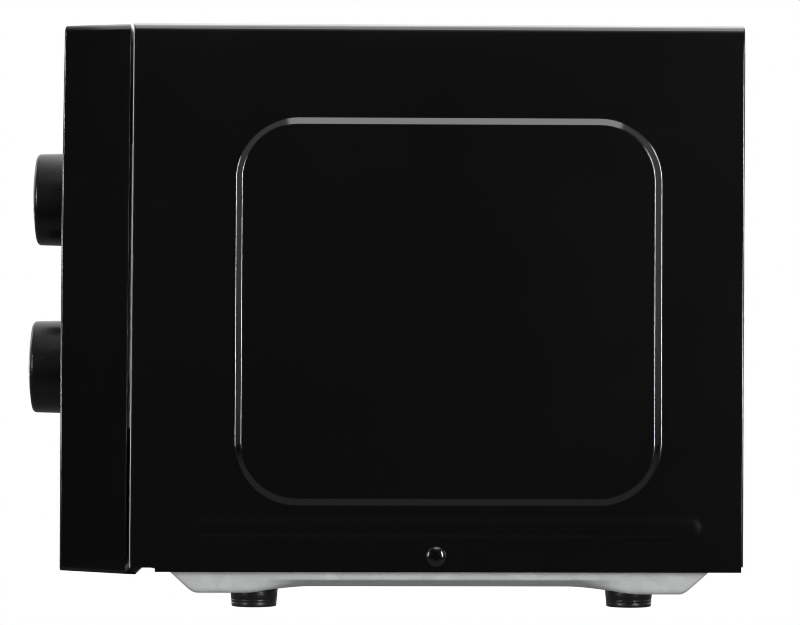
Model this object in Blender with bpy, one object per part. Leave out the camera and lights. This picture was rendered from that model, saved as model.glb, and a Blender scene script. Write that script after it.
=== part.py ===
"""Compact countertop microwave oven with a quartz grill: a closed cabinet,
a side-hinged door, a panel with two knobs, a turntable and a low rack.

Sizes are millimetres, made metres as each mesh is written. X is to the
right seen from the front, Y to the back, Z up, and Z = 0 is the table.
"""

import math

import bmesh
import bpy
from mathutils import Matrix, Vector

MM = 0.001

# Cabinet
WIDTH = 448.0              # over the flat sides of the cover
HEIGHT = 262.0
DEPTH = 303.4              # front face to the cover's back
COVER_BOTTOM = 18.0
SHEET = 0.8                # painted steel sheet
TOP_BEND = 3.0
REAR_FLANGE = 14.0
NOTCH_LENGTH = 10.6
NOTCH_HEIGHT = 1.9
PLATEAU_RISE = 2.0         # raised panel pressed into each side
PLATEAU_BAND = 3.2
PLATEAU_CORNER = 28.0
PLATEAU_FROM_SEAM = 46.4
PLATEAU_LENGTH = 190.0
PLATEAU_LOW = 47.7
PLATEAU_HIGH_DROP = 41.6   # below the top
GAP = 0.3                  # between pieces that touch

# Front
PANEL_DEPTH = 29.0
SEAM_GAP = 1.5
PLATE_T = 0.8
FRONT_LOW = 18.6
FRONT_RAKE = 1.2           # the top leans back by this much
FRONT_EDGE = 2.5
PANEL_WIDTH = 101.5
DOOR_GAP = 1.5             # between door and control panel
PANEL_WALL = 2.5
LIP_LENGTH = 3.3
LIP_T = 0.8
LIP_DROP = 1.7
MIN_WALL = 2.0

# Cavity
CAVITY_SIDE = 16.0         # cabinet side to cavity wall
COMPARTMENT = 124.0        # cavity wall to cabinet side, controls' side
CAVITY_FLOOR = 36.0
CAVITY_TOP_SPACE = 26.0
CAVITY_DEPTH = 260.0
SHAFT_HOLE_R = 7.0

# Base and feet
BASE_T = 1.0
BASE_UPSTAND = 16.0
TUB_DROP = 7.8
TUB_FRONT = 18.0
TUB_BACK = 16.5
TUB_SIDE = 2.5
PAD_DROP = 3.4
PAD_HALF_X = 20.0
PAD_HALF_Y = 22.0
FOOT_R_TOP = 10.5
FOOT_R = 10.0
FOOT_INSET = 43.0
FOOT_FRONT = 54.5          # behind the seam
FOOT_SPACING = 171.3
STEM_R = 3.4
STEM_CLEARANCE = 0.5

# Screws
SCREW_HEAD_R = 4.5
SCREW_HEAD_H = 1.5
REAR_HEAD_H = 1.0
SCREW_SHANK_R = 1.9
SCREW_CLEARANCE = 0.5
SCREW_LENGTH = 7.0
SIDE_SCREW_Z = 24.9
SIDE_SCREW_FROM_SEAM = 136.2
REAR_SCREW_INSET = 60.0
REAR_SCREW_EDGE = 10.0

# Knobs
KNOB_R = 21.25
KNOB_PROUD = 18.5
POWER_KNOB_PROUD = 16.9
KNOB_LIFT = 0.8            # clear of the panel's face
KNOB_DOME = 2.0
KNOB_EDGE = 2.0
TIMER_Z = 108.9
KNOB_PITCH = 76.7
SHAFT_R = 3.0
SHAFT_CLEARANCE = 1.0
BUSH_R = 6.5

# Door button and lever
BUTTON_LOW = 27.0
BUTTON_HIGH = 58.0
BUTTON_SIDE = 11.5         # panel side to button
BUTTON_CLEARANCE = 0.5
BUTTON_DEPTH = 12.0
BUTTON_TRAVEL = 5.0
PLUNGER_R = 4.0
LEVER_DROP = 23.0          # lever axle down to the plunger
LEVER_R = 3.5
LEVER_TAB = 15.0

# Door
HINGE_IN = 14.0            # axis from the door's hinge side
HINGE_BACK = 15.0          # axis behind the front face
HINGE_PIN_R = 2.5
HINGE_CLEARANCE = 0.6
HINGE_ARM_T = 2.5
HINGE_ARM_HALF = 5.5
HINGE_END = 17.0           # arm from the door's end
SLOT_HALF = 1.6            # beyond the arm, each way
WINDOW_SIDE = 36.0
WINDOW_LATCH_SIDE = 37.0
WINDOW_LOW = 44.0
WINDOW_HIGH = 46.0
GLASS_LAP = 6.0
GLASS_T = 3.0
SCREEN_T = 0.8
DOOR_FACE_T = 11.7
POCKET_SIDE = 18.0
POCKET_END = 17.5
POCKET_LATCH = 4.3
LATCH_ZONE = 12.0
LATCH_T = 3.0
LATCH_COVER_T = 2.0
HOOK_H = 6.0
HOOK_BARB = 3.0
HOOK_REACH = 20.5
HOOK_LIFT = 4.0
HOOK_LOW_Z = 74.0
HOOK_PITCH = 125.0
HOOK_CLEARANCE = 2.5

# Turntable
ROLLER_R = 7.0
ROLLER_W = 8.0
ROLLER_INSET = 30.5        # rollers' path in from the tray's rim
AXLE_R = 1.6
RING_INSET = 8.0           # ring's outside in from the rollers' path
RING_W = 8.0
TRAY_GAP = 7.5             # tray's rim to the nearest cavity wall
TRAY_RIM_W = 22.5
TRAY_T = 4.0
TRAY_RISE = 13.0
COUPLER_R = 14.0
MOTOR_R = 24.0
MOTOR_H = 15.0
RACK_INSET = 27.5          # rack's ring in from the tray's rim
RACK_WIRE = 2.0
RACK_HEIGHT = 32.0
RACK_BARS = 7

# Grill and electrical parts
GRILL_X = 116.0            # half length
GRILL_Y = 30.0             # half width
GRILL_H = 18.0
HEATER_R = 5.0
WAVEGUIDE_X = 20.0
WAVEGUIDE_Y = 45.0
WAVEGUIDE_Z = 34.0
MAGNETRON = (84.0, 62.0, 66.0)
CORE = (84.0, 46.0, 58.0)
CORE_LIMB = 24.0
WINDING_T = 11.0
CAPACITOR = (50.0, 32.0, 60.0)
FAN_R = 42.0
FAN_SHROUD = 100.0
FAN_DEPTH = 24.0
FAN_MOTOR = 36.0

# Derived places
SEAM = PANEL_DEPTH + SEAM_GAP
TOTAL = KNOB_PROUD + DEPTH + REAR_HEAD_H + GAP
FRONT = -TOTAL / 2 + KNOB_PROUD
REAR = FRONT + DEPTH
SIDE = WIDTH / 2
PLATE_Y = FRONT + SEAM
SHELL_Y = PLATE_Y + PLATE_T + GAP
IN_SIDE = SIDE - SHEET - GAP
IN_TOP = HEIGHT - SHEET - GAP
BACK_Y = REAR - SHEET - GAP - SHEET
CAV_X0 = -SIDE + CAVITY_SIDE
CAV_X1 = SIDE - COMPARTMENT
CAV_Y1 = SHELL_Y + CAVITY_DEPTH
CAV_TOP = HEIGHT - CAVITY_TOP_SPACE
CAV_X = (CAV_X0 + CAV_X1) / 2
CAV_Y = (SHELL_Y + CAV_Y1) / 2
COMP_X0 = CAV_X1 + SHEET + GAP
PANEL_X0 = SIDE - PANEL_WIDTH
DOOR_X1 = PANEL_X0 - DOOR_GAP
PANEL_REAR = FRONT + PANEL_DEPTH
KNOB_X = PANEL_X0 + PANEL_WIDTH / 2
POWER_Z = TIMER_Z + KNOB_PITCH
AXIS_X = -SIDE + HINGE_IN
AXIS_Y = FRONT + HINGE_BACK
TUB_Z = COVER_BOTTOM - TUB_DROP
PAD_Z = TUB_Z - PAD_DROP
FOOT_X = SIDE - FOOT_INSET
FOOT_Y = (PLATE_Y + FOOT_FRONT, PLATE_Y + FOOT_FRONT + FOOT_SPACING)
ROLL_Z = CAVITY_FLOOR + GAP + ROLLER_R
TRAY_Z = ROLL_Z + ROLLER_R + GAP
RACK_Z = TRAY_Z + TRAY_T + GAP
TRAY_R = min(CAV_X1 - CAV_X0, CAVITY_DEPTH) / 2 - TRAY_GAP
TRAY_FLAT_R = TRAY_R - TRAY_RIM_W
ROLLER_TRACK = TRAY_R - ROLLER_INSET
RING_OUT = ROLLER_TRACK - RING_INSET
RING_IN = RING_OUT - RING_W
RACK_R = TRAY_R - RACK_INSET
LATCH_X = DOOR_X1 - POCKET_LATCH - LATCH_ZONE / 2
LEVER_Y = SHELL_Y + GAP + LEVER_R + 1.5
LEVER_Z = HOOK_LOW_Z - HOOK_BARB - 0.5 - LEVER_R
BUTTON_X = PANEL_X0 + PANEL_WIDTH / 2 - 12.0
SCREW_Y = PLATE_Y + SIDE_SCREW_FROM_SEAM

COLOURS = {
    "black_paint": ((0.012, 0.012, 0.013), 0.0, 0.32),
    "black_plastic": ((0.014, 0.014, 0.015), 0.0, 0.38),
    "knob_plastic": ((0.016, 0.016, 0.017), 0.0, 0.42),
    "grey_paint": ((0.52, 0.53, 0.53), 0.0, 0.4),
    "cavity_enamel": ((0.46, 0.47, 0.47), 0.0, 0.35),
    "galvanised": ((0.60, 0.62, 0.63), 0.9, 0.38),
    "screw_black": ((0.02, 0.02, 0.021), 0.6, 0.35),
    "steel": ((0.55, 0.56, 0.57), 0.95, 0.3),
    "glass": ((0.85, 0.88, 0.88), 0.0, 0.05),
    "dark_glass": ((0.02, 0.02, 0.022), 0.0, 0.06),
    "rubber": ((0.015, 0.015, 0.015), 0.0, 0.7),
    "white_plastic": ((0.78, 0.77, 0.73), 0.0, 0.5),
    "mica": ((0.45, 0.40, 0.33), 0.0, 0.6),
    "copper": ((0.62, 0.28, 0.14), 0.9, 0.4),
    "core": ((0.10, 0.10, 0.11), 0.5, 0.6),
    "aluminium": ((0.70, 0.71, 0.72), 0.95, 0.35),
    "quartz": ((0.80, 0.80, 0.78), 0.0, 0.15),
    "board": ((0.22, 0.15, 0.07), 0.0, 0.6),
}


def clear_scene():
    """Start from nothing."""
    for item in list(bpy.data.objects):
        bpy.data.objects.remove(item, do_unlink=True)


def look(kind):
    """The Principled material of one kind of surface, made once."""
    if kind in bpy.data.materials:
        return bpy.data.materials[kind]
    colour, metallic, roughness = COLOURS[kind]
    material = bpy.data.materials.new(kind)
    material.use_nodes = True
    shader = material.node_tree.nodes["Principled BSDF"]
    shader.inputs["Base Color"].default_value = (*colour, 1.0)
    shader.inputs["Metallic"].default_value = metallic
    shader.inputs["Roughness"].default_value = roughness
    material.diffuse_color = (*colour, 1.0)
    return material


def write(name, bm):
    """A mesh object from a millimetre bmesh, its faces turned out."""
    bmesh.ops.recalc_face_normals(bm, faces=bm.faces)
    mesh = bpy.data.meshes.new(name)
    bm.to_mesh(mesh)
    bm.free()
    mesh.transform(Matrix.Scale(MM, 4))
    item = bpy.data.objects.new(name, mesh)
    bpy.context.scene.collection.objects.link(item)
    return item


def spot(axis, u, v, w):
    """A point with w along the axis and u, v on the other two, in order."""
    if axis == "X":
        return (w, u, v)
    if axis == "Y":
        return (u, w, v)
    return (u, v, w)


def loft(name, rings):
    """Closed solid through rings of equally many points."""
    bm = bmesh.new()
    loops = [[bm.verts.new(p) for p in ring] for ring in rings]
    count = len(loops[0])
    for below, above in zip(loops, loops[1:]):
        for i in range(count):
            j = (i + 1) % count
            bm.faces.new((below[i], below[j], above[j], above[i]))
    bm.faces.new(loops[0])
    bm.faces.new(loops[-1])
    return write(name, bm)


def prism(name, outline, axis, low, high):
    """An outline pushed along an axis."""
    ends = (low, high)
    return loft(name, [[spot(axis, u, v, w) for u, v in outline] for w in ends])


def frustum(name, first, second, axis, low, high):
    """A solid between two outlines."""
    rings = [[spot(axis, u, v, low) for u, v in first]]
    rings.append([spot(axis, u, v, high) for u, v in second])
    return loft(name, rings)


def box(name, x0, x1, y0, y1, z0, z1):
    """A rectangular block."""
    return prism(name, [(x0, y0), (x1, y0), (x1, y1), (x0, y1)], "Z", z0, z1)


def rounded(u0, u1, v0, v1, radius, steps=6):
    """Rectangle outline with round corners."""
    points = []
    corners = ((u1, v1, 0), (u0, v1, 90), (u0, v0, 180), (u1, v0, 270))
    for cu, cv, start in corners:
        mu = cu - math.copysign(radius, cu - (u0 + u1) / 2)
        mv = cv - math.copysign(radius, cv - (v0 + v1) / 2)
        for k in range(steps + 1):
            a = math.radians(start + 90 * k / steps)
            points.append((mu + radius * math.cos(a), mv + radius * math.sin(a)))
    return points


def turned(name, profile, axis, centre, sides=24, ring=False):
    """Revolved solid: profile of (radius, height), closed on the axis."""
    bm = bmesh.new()
    u0, v0, w0 = centre
    loops = []
    for radius, height in profile:
        if radius <= 0:
            loops.append([bm.verts.new(spot(axis, u0, v0, w0 + height))])
            continue
        loop = []
        for k in range(sides):
            a = 2 * math.pi * k / sides
            u = u0 + radius * math.cos(a)
            v = v0 + radius * math.sin(a)
            loop.append(bm.verts.new(spot(axis, u, v, w0 + height)))
        loops.append(loop)
    pairs = list(zip(loops, loops[1:]))
    if ring:
        pairs.append((loops[-1], loops[0]))
    for below, above in pairs:
        for k in range(sides):
            j = (k + 1) % sides
            quad = [below[k % len(below)], below[j % len(below)]]
            quad += [above[j % len(above)], above[k % len(above)]]
            bm.faces.new(list(dict.fromkeys(quad)))
    return write(name, bm)


def rod(name, radius, axis, centre, low, high, sides=16):
    """A plain round bar."""
    profile = [(0, low), (radius, low), (radius, high), (0, high)]
    return turned(name, profile, axis, (*centre, 0.0), sides)


def beam(name, start, end, radius, sides=8):
    """A round bar between two points."""
    a = Vector(start)
    b = Vector(end)
    bm = bmesh.new()
    turn = (b - a).to_track_quat("Z", "Y").to_matrix().to_4x4()
    place = Matrix.Translation((a + b) / 2) @ turn
    bmesh.ops.create_cone(
        bm, cap_ends=True, segments=sides, radius1=radius, radius2=radius,
        depth=(b - a).length, matrix=place)
    return write(name, bm)


def combine(base, others, operation):
    """Boolean of a base with other solids, which are used up."""
    for other in others:
        other.hide_render = True
        other.display_type = "WIRE"
        step = base.modifiers.new(operation, "BOOLEAN")
        step.operation = operation
        step.solver = "EXACT"
        step.object = other
        graph = bpy.context.evaluated_depsgraph_get()
        shape = bpy.data.meshes.new_from_object(base.evaluated_get(graph))
        base.modifiers.remove(step)
        base.data = shape
        bpy.data.objects.remove(other, do_unlink=True)
    return base


def cut(base, *others):
    """Take solids away."""
    return combine(base, others, "DIFFERENCE")


def join(base, *others):
    """Weld solids on."""
    return combine(base, others, "UNION")


def finish(item, name, kind, parent=None, smooth=30.0):
    """Name, colour and parent a sub-part; its origin goes to the parent."""
    item.name = name
    item.data.name = name
    item.data.materials.clear()
    item.data.materials.append(look(kind))
    item.data.shade_smooth()
    item.data.set_sharp_from_angle(angle=math.radians(smooth))
    if parent:
        item.data.transform(Matrix.Translation(-parent.matrix_world.translation))
        item.parent = parent
    return item


def pivot(name, x, y, z, parent=None):
    """An empty on a joint's axis."""
    item = bpy.data.objects.new(name, None)
    item.empty_display_size = 0.02
    bpy.context.scene.collection.objects.link(item)
    where = Vector((x, y, z)) * MM
    if parent:
        item.parent = parent
        where = where - parent.matrix_world.translation
    item.location = where
    bpy.context.view_layer.update()
    return item


# ---------------------------------------------------------------- cabinet

def hood_outline(side, top, low, bend):
    """Cabinet section seen from the front, with round top corners."""
    points = [(-side, low), (side, low)]
    for k in range(5):
        a = math.radians(90 * k / 4)
        points.append((side - bend + bend * math.cos(a), top - bend + bend * math.sin(a)))
    for k in range(5):
        a = math.radians(90 + 90 * k / 4)
        points.append((-side + bend + bend * math.cos(a), top - bend + bend * math.sin(a)))
    return points


def plateau(sign, back, grow):
    """Raised field of one side; back moves it inwards, grow widens it."""
    y0 = PLATE_Y + PLATEAU_FROM_SEAM - grow
    y1 = PLATE_Y + PLATEAU_FROM_SEAM + PLATEAU_LENGTH + grow
    z0 = PLATEAU_LOW - grow
    z1 = HEIGHT - PLATEAU_HIGH_DROP + grow
    root = 0.4
    spread = root * PLATEAU_BAND / PLATEAU_RISE
    corner = PLATEAU_CORNER + grow
    wide = rounded(y0 - spread, y1 + spread, z0 - spread, z1 + spread, corner + spread)
    band = PLATEAU_BAND
    narrow = rounded(y0 + band, y1 - band, z0 + band, z1 - band, corner - band)
    low = sign * (SIDE - back - root)
    high = sign * (SIDE - back + PLATEAU_RISE)
    return frustum("plateau", wide, narrow, "X", low, high)


def side_screw_hole(sign, radius):
    """Hole through one cabinet side for its screw."""
    low, high = sorted((sign * (SIDE - 6), sign * (SIDE + 6)))
    return rod("hole", radius, "X", (SCREW_Y, SIDE_SCREW_Z), low, high, 16)


def rear_screw_places():
    """Screws of the cover's rear flange: two at the top, one on each side."""
    top = HEIGHT - REAR_SCREW_EDGE
    middle = HEIGHT / 2
    edge = SIDE - REAR_SCREW_EDGE
    x = SIDE - REAR_SCREW_INSET
    return [(-x, top), (x, top), (-edge, middle), (edge, middle)]


def rear_holes(radius):
    """Holes along Y for the rear screws."""
    places = rear_screw_places()
    return [rod("hole", radius, "Y", p, REAR - 8, REAR + 4, 12) for p in places]


def make_cover():
    """Painted wrap: two embossed sides, the top and a narrow rear flange."""
    outline = hood_outline(SIDE, HEIGHT, COVER_BOTTOM, TOP_BEND)
    body = prism("cover", outline, "Y", SHELL_Y, REAR)
    join(body, plateau(1, 0, 0), plateau(-1, 0, 0))
    inside = hood_outline(SIDE - SHEET, HEIGHT - SHEET, COVER_BOTTOM - 5, TOP_BEND - SHEET)
    hollow = prism("hollow", inside, "Y", SHELL_Y - 5, REAR - SHEET)
    join(hollow, plateau(1, SHEET, -0.3), plateau(-1, SHEET, -0.3))
    cut(body, hollow)
    edge = SIDE - REAR_FLANGE
    window = box("window", -edge, edge, REAR - 5, REAR + 5, 0, HEIGHT - REAR_FLANGE)
    notch_end = SHELL_Y + NOTCH_LENGTH
    notch_top = COVER_BOTTOM + NOTCH_HEIGHT
    notch = box("notch", -SIDE - 5, SIDE + 5, SHELL_Y - 5, notch_end, 0, notch_top)
    cut(body, window, notch)
    hole = SCREW_SHANK_R + SCREW_CLEARANCE
    cut(body, side_screw_hole(1, hole), side_screw_hole(-1, hole), *rear_holes(hole))
    return finish(body, "outer_cover", "black_paint")


def vent_slots(x0, x1, z0, z1, slot, pitch, y0, y1):
    """A column of level vent slots through a rear sheet."""
    count = int((z1 - z0) // pitch)
    rows = [z0 + pitch * (k + 0.5) for k in range(count)]
    return [box("slot", x0, x1, y0, y1, z - slot / 2, z + slot / 2) for z in rows]


def make_rear_panel():
    """Galvanised back sheet with the fan's vents and the lead's opening."""
    low = COVER_BOTTOM + BASE_T + GAP
    outline = hood_outline(IN_SIDE, IN_TOP, low, TOP_BEND)
    body = prism("rear", outline, "Y", BACK_Y, BACK_Y + SHEET)
    y0 = BACK_Y - 5
    y1 = BACK_Y + 5
    fan_x, fan_z = fan_centre()
    reach = FAN_R - 4
    slots = vent_slots(fan_x - reach, fan_x + reach, fan_z - reach, fan_z + reach, 4, 8, y0, y1)
    steam_z = CAV_TOP - 50
    slots += vent_slots(CAV_X0 + 30, CAV_X0 + 90, steam_z, steam_z + 40, 4, 8, y0, y1)
    cut(body, *slots, *rear_holes(SCREW_SHANK_R + SCREW_CLEARANCE))
    x, z = gland_centre()
    cut(body, rod("hole", GLAND_R + GAP, "Y", (x, z), y0, y1, 16))
    return finish(body, "rear_panel", "galvanised")


GLAND_R = 8.0


def gland_centre():
    """Where the supply lead enters the back."""
    return (SIDE - 40.0, 62.0)


def make_gland():
    """Plastic bush that lines the lead's opening."""
    x, z = gland_centre()
    y = BACK_Y
    profile = [(GLAND_R - 3, -4), (GLAND_R, -4), (GLAND_R, SHEET + GAP)]
    profile += [(GLAND_R + 2, SHEET + GAP), (GLAND_R + 2, SHEET + GAP + 0.7)]
    profile += [(GLAND_R - 3, SHEET + GAP + 0.7)]
    body = turned("gland", profile, "Y", (x, z, y), 16, ring=True)
    return finish(body, "cord_gland", "black_plastic")


def base_box(inset, lift):
    """Upper tray of the base, or its hollow."""
    x = IN_SIDE - inset
    low = COVER_BOTTOM + lift
    high = COVER_BOTTOM + BASE_UPSTAND
    front = SHELL_Y if not inset else SHELL_Y - 5
    rear = BACK_Y - GAP - inset
    return box("base", -x, x, front, rear, low, high + (5 if inset else 0))


def base_tub(inset, lift):
    """Pressed step of the base that hangs below the cover."""
    front = PLATE_Y + TUB_FRONT + inset
    rear = REAR - TUB_BACK - inset
    side = SIDE - TUB_SIDE - SHEET - inset
    over = 0.5
    drop = TUB_DROP
    wide = [(-side - over, front - over), (side + over, front - over)]
    wide += [(side + over, rear + over), (-side - over, rear + over)]
    low = [(-side + drop, front + drop), (side - drop, front + drop)]
    low += [(side - drop, rear - drop), (-side + drop, rear - drop)]
    top = COVER_BOTTOM + lift + over
    return frustum("tub", low, wide, "Z", TUB_Z + lift, top)


def foot_places():
    """Centres of the four feet."""
    return [(sx * FOOT_X, y) for y in FOOT_Y for sx in (-1, 1)]


def base_pad(x, y, inset, lift):
    """Pad pressed down for one foot."""
    hx = PAD_HALF_X - inset
    hy = PAD_HALF_Y - inset
    over = 0.5
    run = PAD_DROP + over
    low = [(x - hx, y - hy), (x + hx, y - hy), (x + hx, y + hy), (x - hx, y + hy)]
    hx += run
    hy += run
    wide = [(x - hx, y - hy), (x + hx, y - hy), (x + hx, y + hy), (x - hx, y + hy)]
    return frustum("pad", low, wide, "Z", PAD_Z + lift, TUB_Z + lift + over)


def make_base():
    """Galvanised bottom pan with upturned edges, a step and four pads."""
    body = base_box(0, 0)
    join(body, base_tub(0, 0), *[base_pad(x, y, 0, 0) for x, y in foot_places()])
    t = BASE_T
    hollow = base_box(t, t)
    join(hollow, base_tub(0.4 * t, t), *[base_pad(x, y, 0.4 * t, t) for x, y in foot_places()])
    cut(body, hollow)
    hole = SCREW_SHANK_R + SCREW_CLEARANCE
    cut(body, side_screw_hole(1, hole), side_screw_hole(-1, hole))
    stem = STEM_R + STEM_CLEARANCE
    cut(body, *[rod("hole", stem, "Z", p, 0, TUB_Z + 5, 12) for p in foot_places()])
    slots = []
    for k in range(6):
        x = SIDE - 96.0 + 9.0 * k
        slots.append(box("slot", x, x + 4, 30.0, 70.0, 0, COVER_BOTTOM))
    cut(body, *slots)
    return finish(body, "base_plate", "galvanised")


def make_foot(name, x, y):
    """Moulded foot with two rings and a snap stem through its pad."""
    top = PAD_Z - GAP
    barb = PAD_Z + BASE_T + GAP
    profile = [(0, 0), (FOOT_R - 0.8, 0), (FOOT_R, 0.8), (FOOT_R_TOP, top)]
    profile += [(STEM_R, top), (STEM_R, barb), (STEM_R + 1.2, barb + 0.2)]
    profile += [(STEM_R - 1.0, barb + 3.0), (0, barb + 3.0)]
    body = turned("foot", profile, "Z", (x, y, 0), 18)
    return finish(body, name, "rubber", smooth=40)


def make_screw(name, axis, u, v, surface, sign, h=SCREW_HEAD_H):
    """Domed cross-head screw standing on a surface that faces along sign."""
    r = SCREW_HEAD_R
    g = GAP
    profile = [(0, g + h), (r * 0.55, g + h * 0.9), (r * 0.9, g + h * 0.5), (r, g)]
    profile += [(SCREW_SHANK_R, g), (SCREW_SHANK_R, -SCREW_LENGTH), (0, -SCREW_LENGTH)]
    profile = [(a, sign * b) for a, b in profile]
    body = turned("screw", profile, axis, (u, v, surface), 12)
    deep = surface + sign * (g + h)
    low = min(deep - sign * h * 0.6, deep + sign * 2)
    high = max(deep - sign * h * 0.6, deep + sign * 2)
    bar = prism("bar", rounded(u - 2.2, u + 2.2, v - 0.45, v + 0.45, 0.2, 1), axis, low, high)
    post = prism("post", rounded(u - 0.45, u + 0.45, v - 2.2, v + 2.2, 0.2, 1), axis, low, high)
    cut(body, bar, post)
    return finish(body, name, "screw_black", smooth=40)


def make_screws():
    """Two side screws and four rear screws."""
    make_screw("side_screw_right", "X", SCREW_Y, SIDE_SCREW_Z, SIDE, 1)
    make_screw("side_screw_left", "X", SCREW_Y, SIDE_SCREW_Z, -SIDE, -1)
    for k, (x, z) in enumerate(rear_screw_places()):
        make_screw(f"rear_screw_{k + 1}", "Y", x, z, REAR, 1, REAR_HEAD_H)


# ------------------------------------------------------ front and cavity

def timer_box():
    """Outer faces of the timer and power unit."""
    half = BUSH_R + 17.0
    return (KNOB_X - 30, KNOB_X + 30, TIMER_Z - half - 4, POWER_Z + half)


def hook_windows(over):
    """The two holes the door's hooks reach through."""
    out = []
    for k in range(2):
        z = HOOK_LOW_Z + k * HOOK_PITCH
        c = HOOK_CLEARANCE
        low = z - HOOK_BARB - c
        high = z + HOOK_H + HOOK_LIFT + c
        x0 = LATCH_X - LATCH_T / 2 - c
        x1 = LATCH_X + LATCH_T / 2 + c
        out.append(box("hole", x0, x1, PLATE_Y - over, PLATE_Y + over, low, high))
    return out


def hinge_levels():
    """Height of each hinge arm's middle and the way its pin points."""
    return [(HEIGHT - HINGE_END, -1), (FRONT_LOW + HINGE_END - 7.0, 1)]


def make_front_plate():
    """Painted chassis front around the cavity mouth."""
    low = COVER_BOTTOM + NOTCH_HEIGHT
    x = SIDE - 0.1
    body = box("plate", -x, x, PLATE_Y, PLATE_Y + PLATE_T, low, HEIGHT - 0.6)
    y0 = PLATE_Y - 5
    y1 = PLATE_Y + 5
    mouth = box("mouth", CAV_X0, CAV_X1, y0, y1, CAVITY_FLOOR, CAV_TOP)
    tx0, tx1, tz0, tz1 = timer_box()
    hold = box("hold", tx0 - 1, tx1 + 1, y0, y1, tz0 - 1, tz1 + 1)
    plunger = PLUNGER_R + 2
    path = rod("path", plunger, "Y", (BUTTON_X, plunger_z()), y0, y1, 16)
    cut(body, mouth, hold, path, *hook_windows(5))
    for z, _ in hinge_levels():
        half = HINGE_ARM_T / 2 + 0.6
        wide = HINGE_ARM_HALF + 0.6
        cut(body, box("slot", AXIS_X - wide, AXIS_X + wide, y0, y1, z - half, z + half))
    return finish(body, "front_plate", "grey_paint")


def make_liner():
    """Enamelled cavity box, open to the front."""
    s = SHEET
    z0 = CAVITY_FLOOR
    body = box("liner", CAV_X0 - s, CAV_X1 + s, SHELL_Y, CAV_Y1 + s, z0 - s, CAV_TOP + s)
    cut(body, box("room", CAV_X0, CAV_X1, SHELL_Y - 5, CAV_Y1, z0, CAV_TOP))
    gx = GRILL_X - 6
    gy = GRILL_Y - 6
    y0 = CAV_Y - gy
    grill = box("grill", CAV_X - gx, CAV_X + gx, y0, CAV_Y + gy, CAV_TOP - 5, CAV_TOP + 5)
    shaft = rod("hole", SHAFT_HOLE_R, "Z", (CAV_X, CAV_Y), z0 - 5, z0 + 5, 16)
    wy, wz = waveguide_centre()
    wy0 = wy - WAVEGUIDE_Y / 2 + 4
    wz0 = wz - WAVEGUIDE_Z / 2 + 4
    wz1 = wz + WAVEGUIDE_Z / 2 - 4
    port = box("port", CAV_X1 - 5, CAV_X1 + 5, wy0, wy + WAVEGUIDE_Y / 2 - 4, wz0, wz1)
    cut(body, grill, shaft, port)
    for k in range(5):
        y = CAV_Y1 - 70 + 10 * k
        steam = box("steam", CAV_X0 - 5, CAV_X0 + 5, y, y + 4, CAV_TOP - 50, CAV_TOP - 20)
        cut(body, steam)
    y, z = lamp_centre()
    for k in range(4):
        zz = z - 13 + 7 * k
        cut(body, box("light", CAV_X1 - 5, CAV_X1 + 5, y - 10, y + 10, zz, zz + 3))
    return finish(body, "cavity_liner", "cavity_enamel")


def front_profile(low, lip):
    """Section of the door or panel seen from the side: raked, round top."""
    y = FRONT
    rake = FRONT_RAKE
    edge = FRONT_EDGE
    top = HEIGHT
    middle = (low + top) / 2
    points = [(PANEL_REAR, low - LIP_DROP)]
    if lip:
        reach = PLATE_Y + PLATE_T + LIP_LENGTH - 0.8
        z = low - LIP_DROP
        points = [(PANEL_REAR, z + LIP_T), (reach, z + LIP_T), (reach, z)]
    points += [(y + 1.2, low), (y, low + 1.2), (y, middle)]
    points += [(y + rake * 0.35, middle + (top - middle) * 0.45)]
    points += [(y + rake, top - edge - 1.0)]
    for k in range(4):
        a = math.radians(180 - 84 * k / 3)
        cy = y + rake + edge
        points.append((cy + edge * math.cos(a), top - edge - 1.0 + edge * math.sin(a)))
    points.append((PANEL_REAR, top))
    return points


def door_plan():
    """Door outline from above: the hinge side is round about the axis."""
    r = HINGE_IN
    points = [(DOOR_X1, PANEL_REAR), (DOOR_X1, FRONT + 1.5), (DOOR_X1 - 1.5, FRONT - 1)]
    points += [(-SIDE + 3.0, FRONT - 1), (-SIDE + 3.0, FRONT + 0.0)]
    points += [(-SIDE + 0.9, FRONT + 0.9), (-SIDE, FRONT + 3.0), (-SIDE, AXIS_Y)]
    for k in range(1, 6):
        a = math.radians(180 - 90 * k / 6)
        points.append((AXIS_X + r * math.cos(a), AXIS_Y + r * math.sin(a)))
    points.append((AXIS_X, PANEL_REAR))
    return points


def window_frame(lap):
    """Door window, widened all round by lap."""
    x0 = -SIDE + WINDOW_SIDE - lap
    x1 = DOOR_X1 - WINDOW_LATCH_SIDE + lap
    z0 = FRONT_LOW + WINDOW_LOW - lap
    return (x0, x1, z0, HEIGHT - WINDOW_HIGH + lap)


def pocket(inset):
    """Hollow at the door's back for its screen and choke cover."""
    x0 = -SIDE + POCKET_SIDE + inset
    x1 = DOOR_X1 - POCKET_LATCH - inset
    return (x0, x1, FRONT_LOW + POCKET_END + inset, HEIGHT - POCKET_END - 3.5 - inset)


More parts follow.
